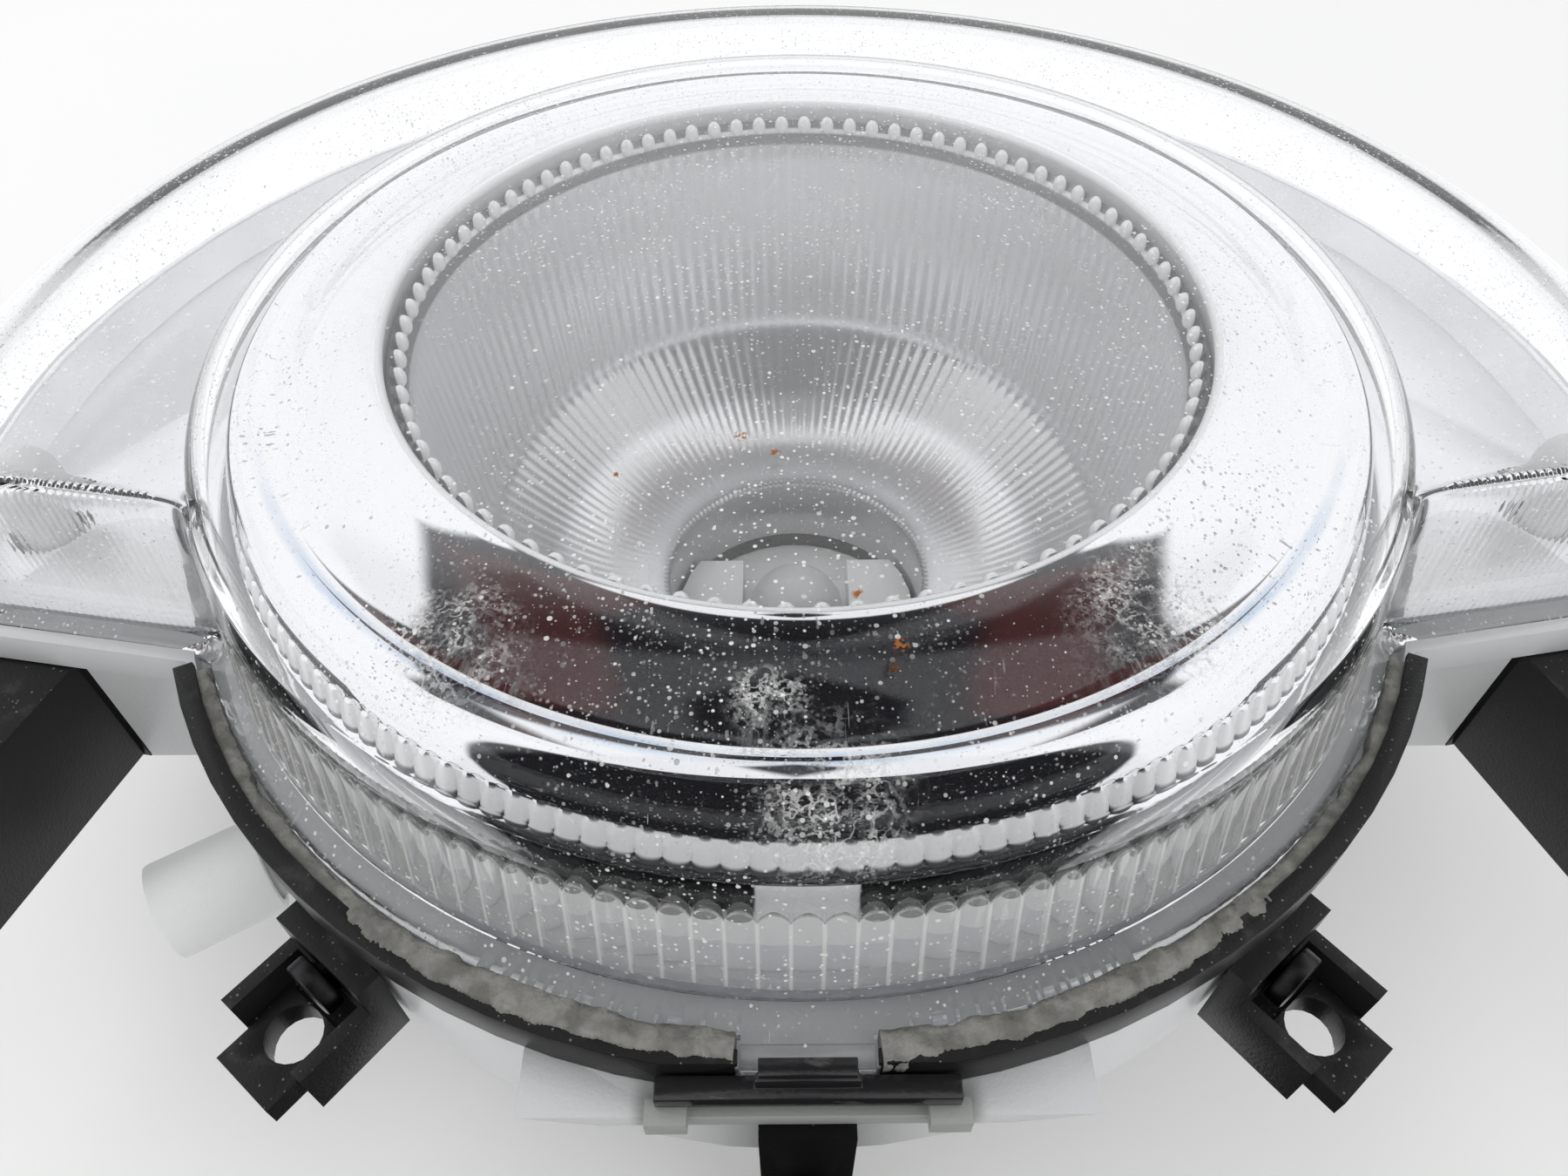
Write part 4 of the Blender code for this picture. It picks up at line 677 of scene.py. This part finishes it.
def bowl_line():
    """Inside of the bowl as (radius, height, flute share), from the rim to the neck's end."""
    line = [(RIM_R, -1.0, 0), (RIM_R - 0.15, -1.8, 0.2)]
    line += [(RIM_R + (FOOT_R - RIM_R) * s, -2.2 + (FOOT_Z + 2.2) * s, 1) for s in np.linspace(0, 1, 12)]
    for s in np.linspace(0, 1, 14)[1:]:
        r = FOOT_R + (NECK_R + 1.2 - FOOT_R) * s
        line.append((r, FOOT_Z + (FLOOR_Z - FOOT_Z) * sin(s * pi / 2), 1 - s * 0.5))
    return line + [(NECK_R + 0.4, FLOOR_Z - 0.2, 0), (NECK_R, FLOOR_Z - 1, 0), (NECK_R, NECK_END, 0)]


inside_rows = [bowl_row(r, z, share * BOWL_FLUTE_DEPTH) for r, z, share in bowl_line()]
outside = [(NECK_R + BOWL_WALL, NECK_END), (NECK_R + BOWL_WALL, FLOOR_Z - BOWL_WALL)]
outside += [(FOOT_R + BOWL_WALL + 0.4 - 12, -44.3), (FOOT_R + BOWL_WALL, FOOT_Z - 1), (RIM_R + BOWL_WALL, -3)]
outside += [(RIM_R + 2.0, -1.6), (RIM_R + 1.95, 0.9), (RIM_R + 1.4, 1.4), (RIM_R + 0.9, 0.8), (RIM_R + 0.3, -0.1)]
bowl_parts = [skin(inside_rows + [bowl_row(r, z, 0) for r, z in outside], capped=False)]

# %% Pearls round the rim
PEARLS = 88
PEARL = (1.0, 0.9, 1.3)
PEARL_R = 48.4
PEARL_Z = 1.1


def oval(centre, turn, half, around=14, up=10):
    """An oval bead whose first half-size lies along the rim and last one upright."""
    rows = []
    for tilt in np.linspace(0.12, pi - 0.12, up):
        ring = np.linspace(0, 2 * pi, around, endpoint=False)
        along = half[0] * sin(tilt) * np.cos(ring)
        out = half[1] * sin(tilt) * np.sin(ring)
        x = centre[0] - along * sin(turn) + out * cos(turn)
        y = centre[1] + along * cos(turn) + out * sin(turn)
        rows.append(np.stack([x, y, np.zeros_like(x) + centre[2] + half[2] * cos(tilt)], -1))
    return skin(rows, capped=True)


for i in range(PEARLS):
    turn = 2 * pi * (i + 0.5) / PEARLS
    bowl_parts.append(oval((PEARL_R * cos(turn), PEARL_R * sin(turn), PEARL_Z), turn, PEARL))

# %% Pins and ear of the bowl
PIVOT_Z = -8.0
PIN_R = 2.5
PIN_ENDS = (48.6, 60.8)
EAR_Y = -60.0
EAR_HALF = 7.0
EAR_TOP = -11.0
EAR_THICKNESS = 3.0
EAR_HOLE_R = 3.4


def pin(side):
    """A round pin along X with a rounded end."""
    turns = np.linspace(0, 2 * pi, 24, endpoint=False)
    stations = ((PIN_ENDS[0], 1), (PIN_ENDS[1] - 0.8, 1), (PIN_ENDS[1] - 0.2, 0.88), (PIN_ENDS[1], 0.65))
    rows = [np.stack([np.full_like(turns, side * x), PIN_R * s * np.cos(turns), PIVOT_Z + PIN_R * s * np.sin(turns)], -1)
            for x, s in stations]
    return skin(rows, capped=True)


def ear():
    """A flat ear with a round hole, wider where it meets the bowl."""
    turns = np.linspace(0, 2 * pi, 48, endpoint=False)
    square = np.maximum(np.abs(np.cos(turns)), np.abs(np.sin(turns)))
    outline = EAR_HALF / square ** 0.85
    reach_in = np.where(np.sin(turns) > 0, 4.6 * np.sin(turns), 0)
    rows = []
    for radius, z in ((EAR_HOLE_R, EAR_TOP), (None, EAR_TOP), (None, EAR_TOP - EAR_THICKNESS),
                      (EAR_HOLE_R, EAR_TOP - EAR_THICKNESS)):
        r = outline if radius is None else np.full_like(turns, radius)
        grow = reach_in if radius is None else 0
        rows.append(np.stack([r * np.cos(turns), EAR_Y + r * np.sin(turns) + grow, np.full_like(turns, z)], -1))
    return skin(rows, capped=False)


bowl_parts += [pin(-1), pin(1), ear()]
bowl_points, bowl_faces = gathered(bowl_parts)
bowl = piece("fluted_bowl", placed(bowl_points), bowl_faces, "reflector", ["main_reflector"], crease=50)

# %% [markdown]
# ## Bright plating
# Vacuum plating on plastic is a near-perfect mirror. Its look comes from what it mirrors, so the finish
# itself only adds what a plain mirror lacks: a slight change of roughness in patches and faint dust. It also
# carries painted light: bands of painted shade and reflection in the bowl, and a bluish painted reflection
# along the near side of the raised crease. The pearls, the pillows and the lip's edge are satin and painted
# white as painted highlights, with painted shade between the pearls and under the pillows. The skirt is
# plated only at its top, with painted shade on it under the lip and lower down.

# %% Plating finishes
CREASE_R = 64.8


def plating(name, dull, least=0.03, shade=0.9, bands=()):
    """Bright plating, with bands of painted shade about the axis as (from radius, to radius, shade)."""
    made = Finish(name, Metallic=1.0)
    cloud = made.noise(35, 4)
    made.give(Roughness=cloud.rise(0.35, 0.75) * dull + least)
    # Painted reflection: on the near side, a bluish streaky line along the raised crease is painted into the base
    # colour.
    thin = made.from_axis().between(CREASE_R - 0.7, CREASE_R + 0.5, 0.4) * made.near_side(15, 45)
    streak = made.noise(90, 2, (1, 1, 6)).rise(0.35, 0.65)
    bright = (shade, shade, shade * 1.01)
    made.give(Base_Color=(thin * (0.3 + streak * 0.6)).tint(bright, (0.5, 0.6, 0.74)))
    for low, high, grey in bands:
        made.paint(made.from_axis().between(low, high, 1.5), (grey, grey, grey))
    grain = made.node("BsdfDiffuse", {}, {"Color": (0.7, 0.7, 0.69)})
    made.blend(made.specks(2200, 0.3) * 0.5, grain)
    return made


# %% Where the ring is not bright
PLATED_LOW = -14.0
BARE_HALF = 4.7
BARE_TOP = -7.7
SHADE_TOP = -19.0
LIP_EDGE_R = 50.6
PILLOW_SHADE_LINE = -6.3
STRIP_SHADE_FADE = (20, 48)


def partly_plated(made):
    """Satin pillows and lip edge painted white as painted highlights, with painted shade on the pillows' lowest
    parts; a strip of painted shade under the lip, darkest at the front; pale plastic under it with painted shade
    lower down; and a pale spot of painted light behind the tab.
    """
    x, _, up = made.about_axis()
    # Painted light: a pale unplated spot behind the tab stands in for the light that comes through the tab.
    bare_lit_spot = (1 - abs(x).rise(BARE_HALF - 0.2, BARE_HALF + 0.2)) * made.near_side(40, 41)
    bare_lit_spot = bare_lit_spot * (1 - up.rise(BARE_TOP - 0.1, BARE_TOP))
    plated = up.rise(PLATED_LOW - 0.15, PLATED_LOW + 0.15) * (1 - bare_lit_spot)
    lip = 1 - made.from_axis().rise(LIP_EDGE_R - 0.15, LIP_EDGE_R + 0.15)
    satin = up.between(PILLOW_FOOT[1], PILLOW_TOP[1] - 0.2, 0.15).most(lip)
    # Painted highlight and shade: the satin pillows and the lip's edge are painted white, and the pillows' lowest
    # parts dark.
    made.paint(satin, up.rise(PILLOW_SHADE_LINE - 0.3, PILLOW_SHADE_LINE + 0.3).tint((0.1, 0.1, 0.1), (0.95, 0.95, 0.95)))
    # Painted shade: the plated strip under the lip gets a dark base colour, darkest at the front and lighter towards
    # the sides.
    strip_shade = abs(x).rise(*STRIP_SHADE_FADE).tint((0.03, 0.03, 0.032), (0.5, 0.5, 0.51))
    made.paint(up.between(PLATED_LOW, BARE_TOP, 0.1), strip_shade)
    # Painted shade: the unplated skirt goes from pale plastic at the top to a darker blue-grey below.
    skirt = up.rise(SHADE_TOP - 0.2, SHADE_TOP + 0.2).tint((0.62, 0.65, 0.7), (0.9, 0.91, 0.92))
    made.paint(1 - plated, skirt)
    made.give(Metallic=plated - satin * 0.85, Roughness=0.45 - plated * 0.41 + satin * 0.3)
    return made


partly_plated(plating("ring_plating", 0.03)).wear(ring, slot="chrome")
RIM_SHADE = (-1.9, -1.4)
# Painted shade and reflection: the dish is darkened in a band near its wall and in the neck, and kept bright
# between.
painted_bowl_shade = ((35.5, 44.6, 0.66), (24.0, 34.0, 1.0), (0.0, 20.4, 0.5))
bowl_plating = plating("bowl_plating", 0.08, 0.24, 0.98, painted_bowl_shade)
_, _, bowl_up = bowl_plating.about_axis()
pearl_highlight = bowl_up.rise(-0.3, 0.1) * (1 - bowl_plating.from_axis().rise(PEARL_R + 0.2, PEARL_R + 0.4))
# Painted shade on the rim between the pearls, then painted highlight: the pearls are painted white and made mostly
# non-metallic.
bowl_plating.paint(bowl_up.rise(*RIM_SHADE), (0.22, 0.22, 0.22))
bowl_plating.paint(pearl_highlight, (1.0, 1.0, 1.0))
bowl_plating.give(Metallic=0.72 - pearl_highlight * 0.52)
bowl_plating.wear(bowl, slot="chrome")
sides = ("left", "right")
troughs = [eased(f"side_reflector_{side}", 0.3) for side in sides]
side_plating = plating("side_plating", 0.12, 0.35, 0.98)
side_plating.give(Metallic=0.6)
side_plating.wear(*troughs, slot="chrome")

# %% [markdown]
# ## Sealant
# The lens is set in a bead of butyl, squeezed out and torn along the near edge. It is a strip whose
# section changes along the way: its height and width follow a sum of sines with seeded phases, which
# gives lumps and thinner stretches that never repeat, and the same ones each run. A plain grey bead lies
# in the groove between the ring and the lens, where it shows through the flutes.

# %% Sealant strips
SEAL_FROM = 4.9
SEAL_TO = 64.0
SEAL_STATIONS = 420
SEAL_SECTION = 14
SEAL_R = 81.0
SEAL_FLOOR = -26.0
SEAL_INNER = 79.45
SEAL_THICK = 0.35
BOXY = 0.5
lumps = np.random.default_rng(7)


def ragged(along, waves, low, high):
    """A rough line between two values: sines of rising pitch with seeded phases."""
    total = np.zeros_like(along)
    weight = 0
    for k in range(1, waves + 1):
        share = 1 / k ** 0.6
        total += share * np.sin(along * k * 9.7 + lumps.uniform(0, 2 * pi))
        weight += share * 0.5
    return low + (high - low) * np.clip(0.5 + 0.5 * total / weight, 0, 1)


def sealant_strip(side):
    share = np.linspace(0, 1, SEAL_STATIONS)
    turns = np.radians(-90 + side * (SEAL_FROM + (SEAL_TO - SEAL_FROM) * share))
    thin = np.clip((share - SEAL_THICK) / 0.3, 0, 1)
    top = ragged(share, 26, -22.7, -21.9) - 1.2 * thin
    inner = ragged(share, 18, 2.2, 0.9)
    outer = ragged(share, 22, 1.2, 2.15) - 0.6 * thin
    section = np.linspace(0, 2 * pi, SEAL_SECTION, endpoint=False)
    rough = lumps.normal(0, 0.035, (SEAL_STATIONS, SEAL_SECTION))
    rows = []
    for i, turn in enumerate(turns):
        wide = np.where(np.cos(section) > 0, outer[i], inner[i])
        middle = (top[i] + SEAL_FLOOR) / 2
        tall = (top[i] - SEAL_FLOOR) / 2
        r = SEAL_R + wide * np.sign(np.cos(section)) * np.abs(np.cos(section)) ** BOXY + rough[i]
        z = middle + tall * np.sign(np.sin(section)) * np.abs(np.sin(section)) ** BOXY + rough[i]
        r = np.maximum(r, SEAL_INNER)
        rows.append(np.stack([r * cos(turn), r * sin(turn), np.maximum(z, SEAL_FLOOR)], -1))
    return skin(rows, capped=True)


seals = [piece(f"sealant_{word}", placed(points), faces, "housing", [f"lens_seal_{word}"], 60)
         for word, (points, faces) in ((word, sealant_strip(side)) for word, side in zip(sides, (-1, 1)))]

# %% Bead in the groove
GROOVE = ((71.5, -25.9), (71.5, -24.9), (72.2, -24.5), (73.4, -24.5), (74.1, -24.9), (74.1, -25.9))
groove_turn = np.linspace(0, 2 * pi, 240, endpoint=False)
groove_rows = [np.stack([r * np.cos(groove_turn), r * np.sin(groove_turn), np.full_like(groove_turn, z)], -1)
               for r, z in GROOVE]
groove = piece("groove_bead", placed(skin(groove_rows, False)[0]), skin(groove_rows, False)[1], "housing")


def butyl():
    made = Finish("butyl", Specular_IOR_Level=0.3)
    clot = made.noise(420, 5)
    made.give(Base_Color=clot.rise(0.35, 0.7).tint((0.15, 0.147, 0.135), (0.27, 0.265, 0.245)))
    made.give(Roughness=0.4 + 0.3 * clot)
    made.bump(made.noise(700, 6), 1.0, 0.0008)
    return made


def groove_grey():
    made = Finish("groove_grey", Specular_IOR_Level=0.3)
    made.give(Base_Color=made.noise(300, 3).tint((0.3, 0.31, 0.33), (0.5, 0.51, 0.53)), Roughness=0.6)
    return made


butyl().wear(*seals, slot="butyl")
groove_grey().wear(groove, slot="butyl")

# %% [markdown]
# ## Housing and plastics
# The housing is pale grey moulded plastic with a satin surface, the brackets and side bodies are black,
# and the bulb holder is white. They share one recipe: a base colour that drifts a little, fine moulded
# grain as bump, and dust that settles on faces which look up. What changes is the colour, the gloss and
# how much of the dust shows.


# %% Moulded plastic finishes
def moulded(name, colour, rough, drift, dusty, grain=0.25, shine=0.5):
    """Moulded plastic: drifting colour, fine grain, and dust on faces that look up."""
    made = Finish(name, Specular_IOR_Level=shine)
    cloud = made.noise(28, 4)
    darker = tuple(c * (1 - drift) for c in colour)
    facing = made.node("NewGeometry", out="Normal")
    up = made.node("SeparateXYZ", {}, {0: facing}, "Z").rise(0.3, 1.0)
    dust = (made.specks(1700, 0.28) + made.noise(240, 4).rise(0.55, 0.8) * 0.3) * up * dusty
    made.give(Base_Color=cloud.tint(darker, colour))
    made.paint(dust, (0.5, 0.49, 0.46))
    made.give(Roughness=rough + 0.16 * (cloud - 0.5) + dust * 0.2)
    made.bump(made.noise(2600, 2), grain)
    return made


SHADED_LUG = (80, 84)
LUG_HALF = 16.5
pale = [eased("rear_housing", 0.4)] + [eased(f"rear_stay_{side}", 0.6) for side in sides]
sockets = [eased(f"side_socket_{side}", 0.35) for side in sides]
housing_grey = moulded("housing_grey", (0.6, 0.605, 0.61), 0.42, 0.08, 0.25)
lug_x = abs(housing_grey.about_axis()[0])
# Painted shade: the housing's lug on the near side, under the clip, is darkened where it lies in shadow.
lug_shade = housing_grey.near_side(*SHADED_LUG) * (1 - lug_x.rise(LUG_HALF - 1, LUG_HALF + 1))
housing_grey.paint(lug_shade * 0.7, (0.2, 0.21, 0.19))
housing_grey.wear(*pale, *sockets, slot="pale_plastic")
stub = eased("breather_cap", 0.6)
# Painted light: the breather cap is a paler grey than the housing, standing in for the light it catches.
moulded("lit_stub_grey", (0.8, 0.8, 0.8), 0.5, 0.06, 0.15).wear(stub, slot="pale_plastic")
black = [eased("rim_band", 0.2)]
black += [eased(f"{name}_{side}", 0.6) for name in ("side_body", "bracket") for side in sides]
moulded("black_satin", (0.014, 0.014, 0.014), 0.42, 0.3, 0.25, 0.25, 0.28).wear(*black, slot="black_plastic")
leg = eased("bottom_leg", 0.5)
# Painted shade: the leg's black is darker than black_satin because the leg stands in shadow; its higher roughness
# and lower shine are its real finish.
moulded("shaded_leg_black", (0.007, 0.007, 0.007), 0.6, 0.3, 0.1, 0.25, 0.08).wear(leg, slot="black_plastic")
white = [eased("bulb_holder", 0.7), eased("adjuster_nut", 0.4), eased("adjuster_knob", 0.4)]
white += [eased(f"pivot_post_{side}", 0.4) for side in sides]
moulded("white_plastic", (0.9, 0.9, 0.89), 0.38, 0.05, 0.1).wear(*white, slot="white_plastic")
soft = [eased("rear_boot", 0.5), eased("holder_seal", 0.4)]
moulded("black_rubber", (0.03, 0.03, 0.031), 0.7, 0.3, 0.6, 0.6).wear(*soft, slot="rubber")

# %% [markdown]
# ## Metal pieces
# The clip that holds the lens tab is a black spring strip, the fixing screws are blackened, and the
# aiming screw, blades and inserts are bare metal. Bare metal is never even: it has fine brushing along one way and small tarnished spots, so the
# roughness follows a stretched noise and the colour a blotchy one.


# %% Metal finishes
def bare_metal(name, colour, tarnish, rough):
    made = Finish(name, Metallic=1.0)
    brushing = made.noise(900, 3, (1, 1, 0.08))
    blotch = made.noise(320, 4).rise(0.5, 0.75)
    made.give(Base_Color=blotch.tint(colour, tarnish))
    made.give(Roughness=rough + 0.2 * (brushing - 0.5) + 0.15 * blotch)
    made.bump(brushing, 0.15)
    return made


def black_spring():
    made = Finish("black_spring", Coat_Roughness=0.12, Coat_Weight=0.25)
    scuff = made.noise(500, 4, (0.3, 1, 1)).rise(0.6, 0.75)
    made.give(Base_Color=scuff.tint((0.012, 0.012, 0.013), (0.09, 0.085, 0.085)))
    made.give(Roughness=0.22 + 0.25 * scuff)
    made.bump(made.noise(1800, 2), 0.12)
    return made


clip = eased("lens_clip", 0.7)
black_spring().wear(clip, slot="black_metal")
screws = [eased("leg_screw", 0.4)] + [eased(f"bracket_screw_{side}", 0.4) for side in sides]
bare_metal("black_zinc", (0.05, 0.05, 0.052), (0.1, 0.09, 0.08), 0.4).wear(*screws, slot="black_metal")
steel = [eased("adjuster_screw", 0.2), eased("bulb_base", 0.5), eased("bulb_filament", 0)]
bare_metal("zinc_steel", (0.62, 0.62, 0.63), (0.4, 0.38, 0.36), 0.3).wear(*steel, slot="steel")
brass = [eased(f"bulb_terminal_{i}", 0.15) for i in (1, 2, 3)]
brass += [eased(f"side_terminal_{side}_{i}", 0.15) for side in sides for i in (1, 2)]
brass += [eased(f"stay_insert_{side}", 0.25) for side in sides]
bare_metal("blade_brass", (0.74, 0.58, 0.3), (0.45, 0.33, 0.16), 0.28).wear(*brass, slot="brass")

# %% [markdown]
# ## Bulbs
# The main bulb is a slim glass tube under a painted cap that hides the filament from the road, and each
# side lamp has a small milky bulb. Glass is the plain glass shader with a faint smoky deposit, and milky
# glass lets less light through and scatters the rest. The cap's paint is matt grey, a little burnt.


# %% Bulb finishes
def bulb_glass():
    made = Finish("bulb_glass", Base_Color=(0.99, 0.99, 0.99), Transmission_Weight=1.0, IOR=1.47)
    made.give(Roughness=made.noise(150, 3).rise(0.4, 0.8) * 0.12)
    open_air = made.node("BsdfTransparent", {}, {"Color": (0.93, 0.94, 0.94)})
    made.blend(made.node("LightPath", out="Is Shadow Ray"), open_air)
    return made


def cap_paint():
    made = Finish("cap_paint", Metallic=0.3)
    burnt = made.noise(160, 4)
    made.give(Base_Color=burnt.tint((0.6, 0.6, 0.61), (0.85, 0.85, 0.85)), Roughness=0.35 + 0.3 * burnt)
    made.bump(made.noise(1500, 3), 0.3)
    return made


def opal_glass():
    made = Finish("opal_glass", Transmission_Weight=0.3, IOR=1.47)
    milk = made.noise(120, 3)
    made.give(Base_Color=milk.tint((0.88, 0.88, 0.87), (0.96, 0.96, 0.95)), Roughness=0.3 + 0.2 * milk)
    return made


bulb_glass().wear(eased("bulb_glass", 0), slot="glass")
opal_glass().wear(*[eased(f"side_bulb_{side}", 0) for side in sides], slot="glass")
cap_paint().wear(eased("bulb_cap", 0), slot="grey_paint")

# %% [markdown]
# ## Floor, light and what the chrome sees
# The lamp lies on a white table in soft light from all sides. A mirror in an all-white room has no shape,
# so, as in a studio, dark cards stand where the chrome needs an edge: one overhead, and a wedge on the
# near side that widens from a point overhead. They are painted into the world by direction, and the
# chrome sees them in place of the table. Camera rays and the rays that light matt surfaces see plain
# white instead, so no card ever shows as a background or dims the light.

# %% Floor
FLOOR_HALF = 3.0
corners = [(x, y, 0) for x, y in ((-1, -1), (1, -1), (1, 1), (-1, 1))]
floor_mesh = bpy.data.meshes.new("table")
floor_mesh.from_pydata([tuple(FLOOR_HALF * v for v in corner) for corner in corners], [], [(0, 1, 2, 3)])
floor = bpy.data.objects.new("table", floor_mesh)
bpy.context.scene.collection.objects.link(floor)
floor.visible_glossy = False
floor.visible_transmission = False
table_white = Finish("table_white", Roughness=0.5, Specular_IOR_Level=0.2)
table_white.give(Base_Color=table_white.noise(6, 3).tint((0.86, 0.865, 0.855), (0.9, 0.9, 0.885)))
floor_mesh.materials.append(table_white.made)

# %% World with dark cards
world = bpy.data.worlds.new("studio")
bpy.context.scene.world = world
world.use_nodes = True
room = Bench(world.node_tree)
way = room.node("TexCoord", out="Generated")
axes = room.node("SeparateXYZ", {}, {0: way}, "X").socket.node.outputs
way_x, way_y, way_z = (Wire(room, axes[key]) for key in "XYZ")
aside = abs(way_x)
overhead = (0.62 - 0.31 * way_y - aside).rise(-0.015, 0.015) * way_y.between(0.07, 0.6, 0.03) * way_z.rise(0.55, 0.6)
near_card = (way_y * -1.4 - aside).rise(-0.03, 0.03)
card = overhead.most(near_card)
maroon = aside.between(0.26, 0.44, 0.03) * overhead
card_colour = maroon.tint((0.012, 0.012, 0.014), (0.06, 0.022, 0.022))
seen = room.node("Mix", {"data_type": "RGBA"}, {0: card, 6: (0.98, 0.985, 1.0), 7: card_colour}, 2)
after_matt = room.node("LightPath", out="Diffuse Depth") > 0.5
plain_ray = room.node("LightPath", out="Is Camera Ray").most(after_matt)
shown = room.node("Mix", {"data_type": "RGBA"}, {0: plain_ray, 6: seen, 7: (0.84, 0.845, 0.85)}, 2)
room.set(world.node_tree.nodes["Background"].inputs["Color"], shown)
world.node_tree.nodes["Background"].inputs["Strength"].default_value = 1.1

# %% Lamps
for name, spot, size, power in (("top_softbox", (-0.35, 0.25, 0.8), 0.6, 1.3), ("near_softbox", (0.5, -0.7, 0.6), 0.5, 0.8)):
    lamp = bpy.data.lights.new(name, "AREA")
    lamp.size = size
    lamp.energy = power
    holder = bpy.data.objects.new(name, lamp)
    bpy.context.scene.collection.objects.link(holder)
    holder.location = spot
    holder.rotation_euler = (AXIS - Vector(spot)).to_track_quat("-Z", "Y").to_euler()
    holder.visible_glossy = False
    holder.visible_transmission = False
print("floor, world and lamps are in")

# %% [markdown]
# ## Camera
# The picture was taken from close by, looking down at about 49 degrees, with a wide lens: the near edge
# is much larger than the far one. The place below was found by fitting the rings of the lamp to the
# picture, and is written from the rim's centre.

# %% Camera
CAMERA_PLACE = (-1.9, -118.6, 85.5)
LOOK_DOWN = radians(48.69)
ROLL = radians(0.44)
camera = bpy.data.objects.new("camera", bpy.data.cameras.new("camera"))
camera.data.sensor_width = 36
camera.data.lens = 26
camera.data.clip_start = 0.005
camera.matrix_world = (Matrix.Translation(Vector(placed(CAMERA_PLACE)))
                       @ Matrix.Rotation(pi / 2 - LOOK_DOWN, 4, "X") @ Matrix.Rotation(-ROLL, 4, "Z"))
bpy.context.scene.collection.objects.link(camera)
bpy.context.scene.camera = camera
bpy.context.scene.view_settings.view_transform = "Standard"
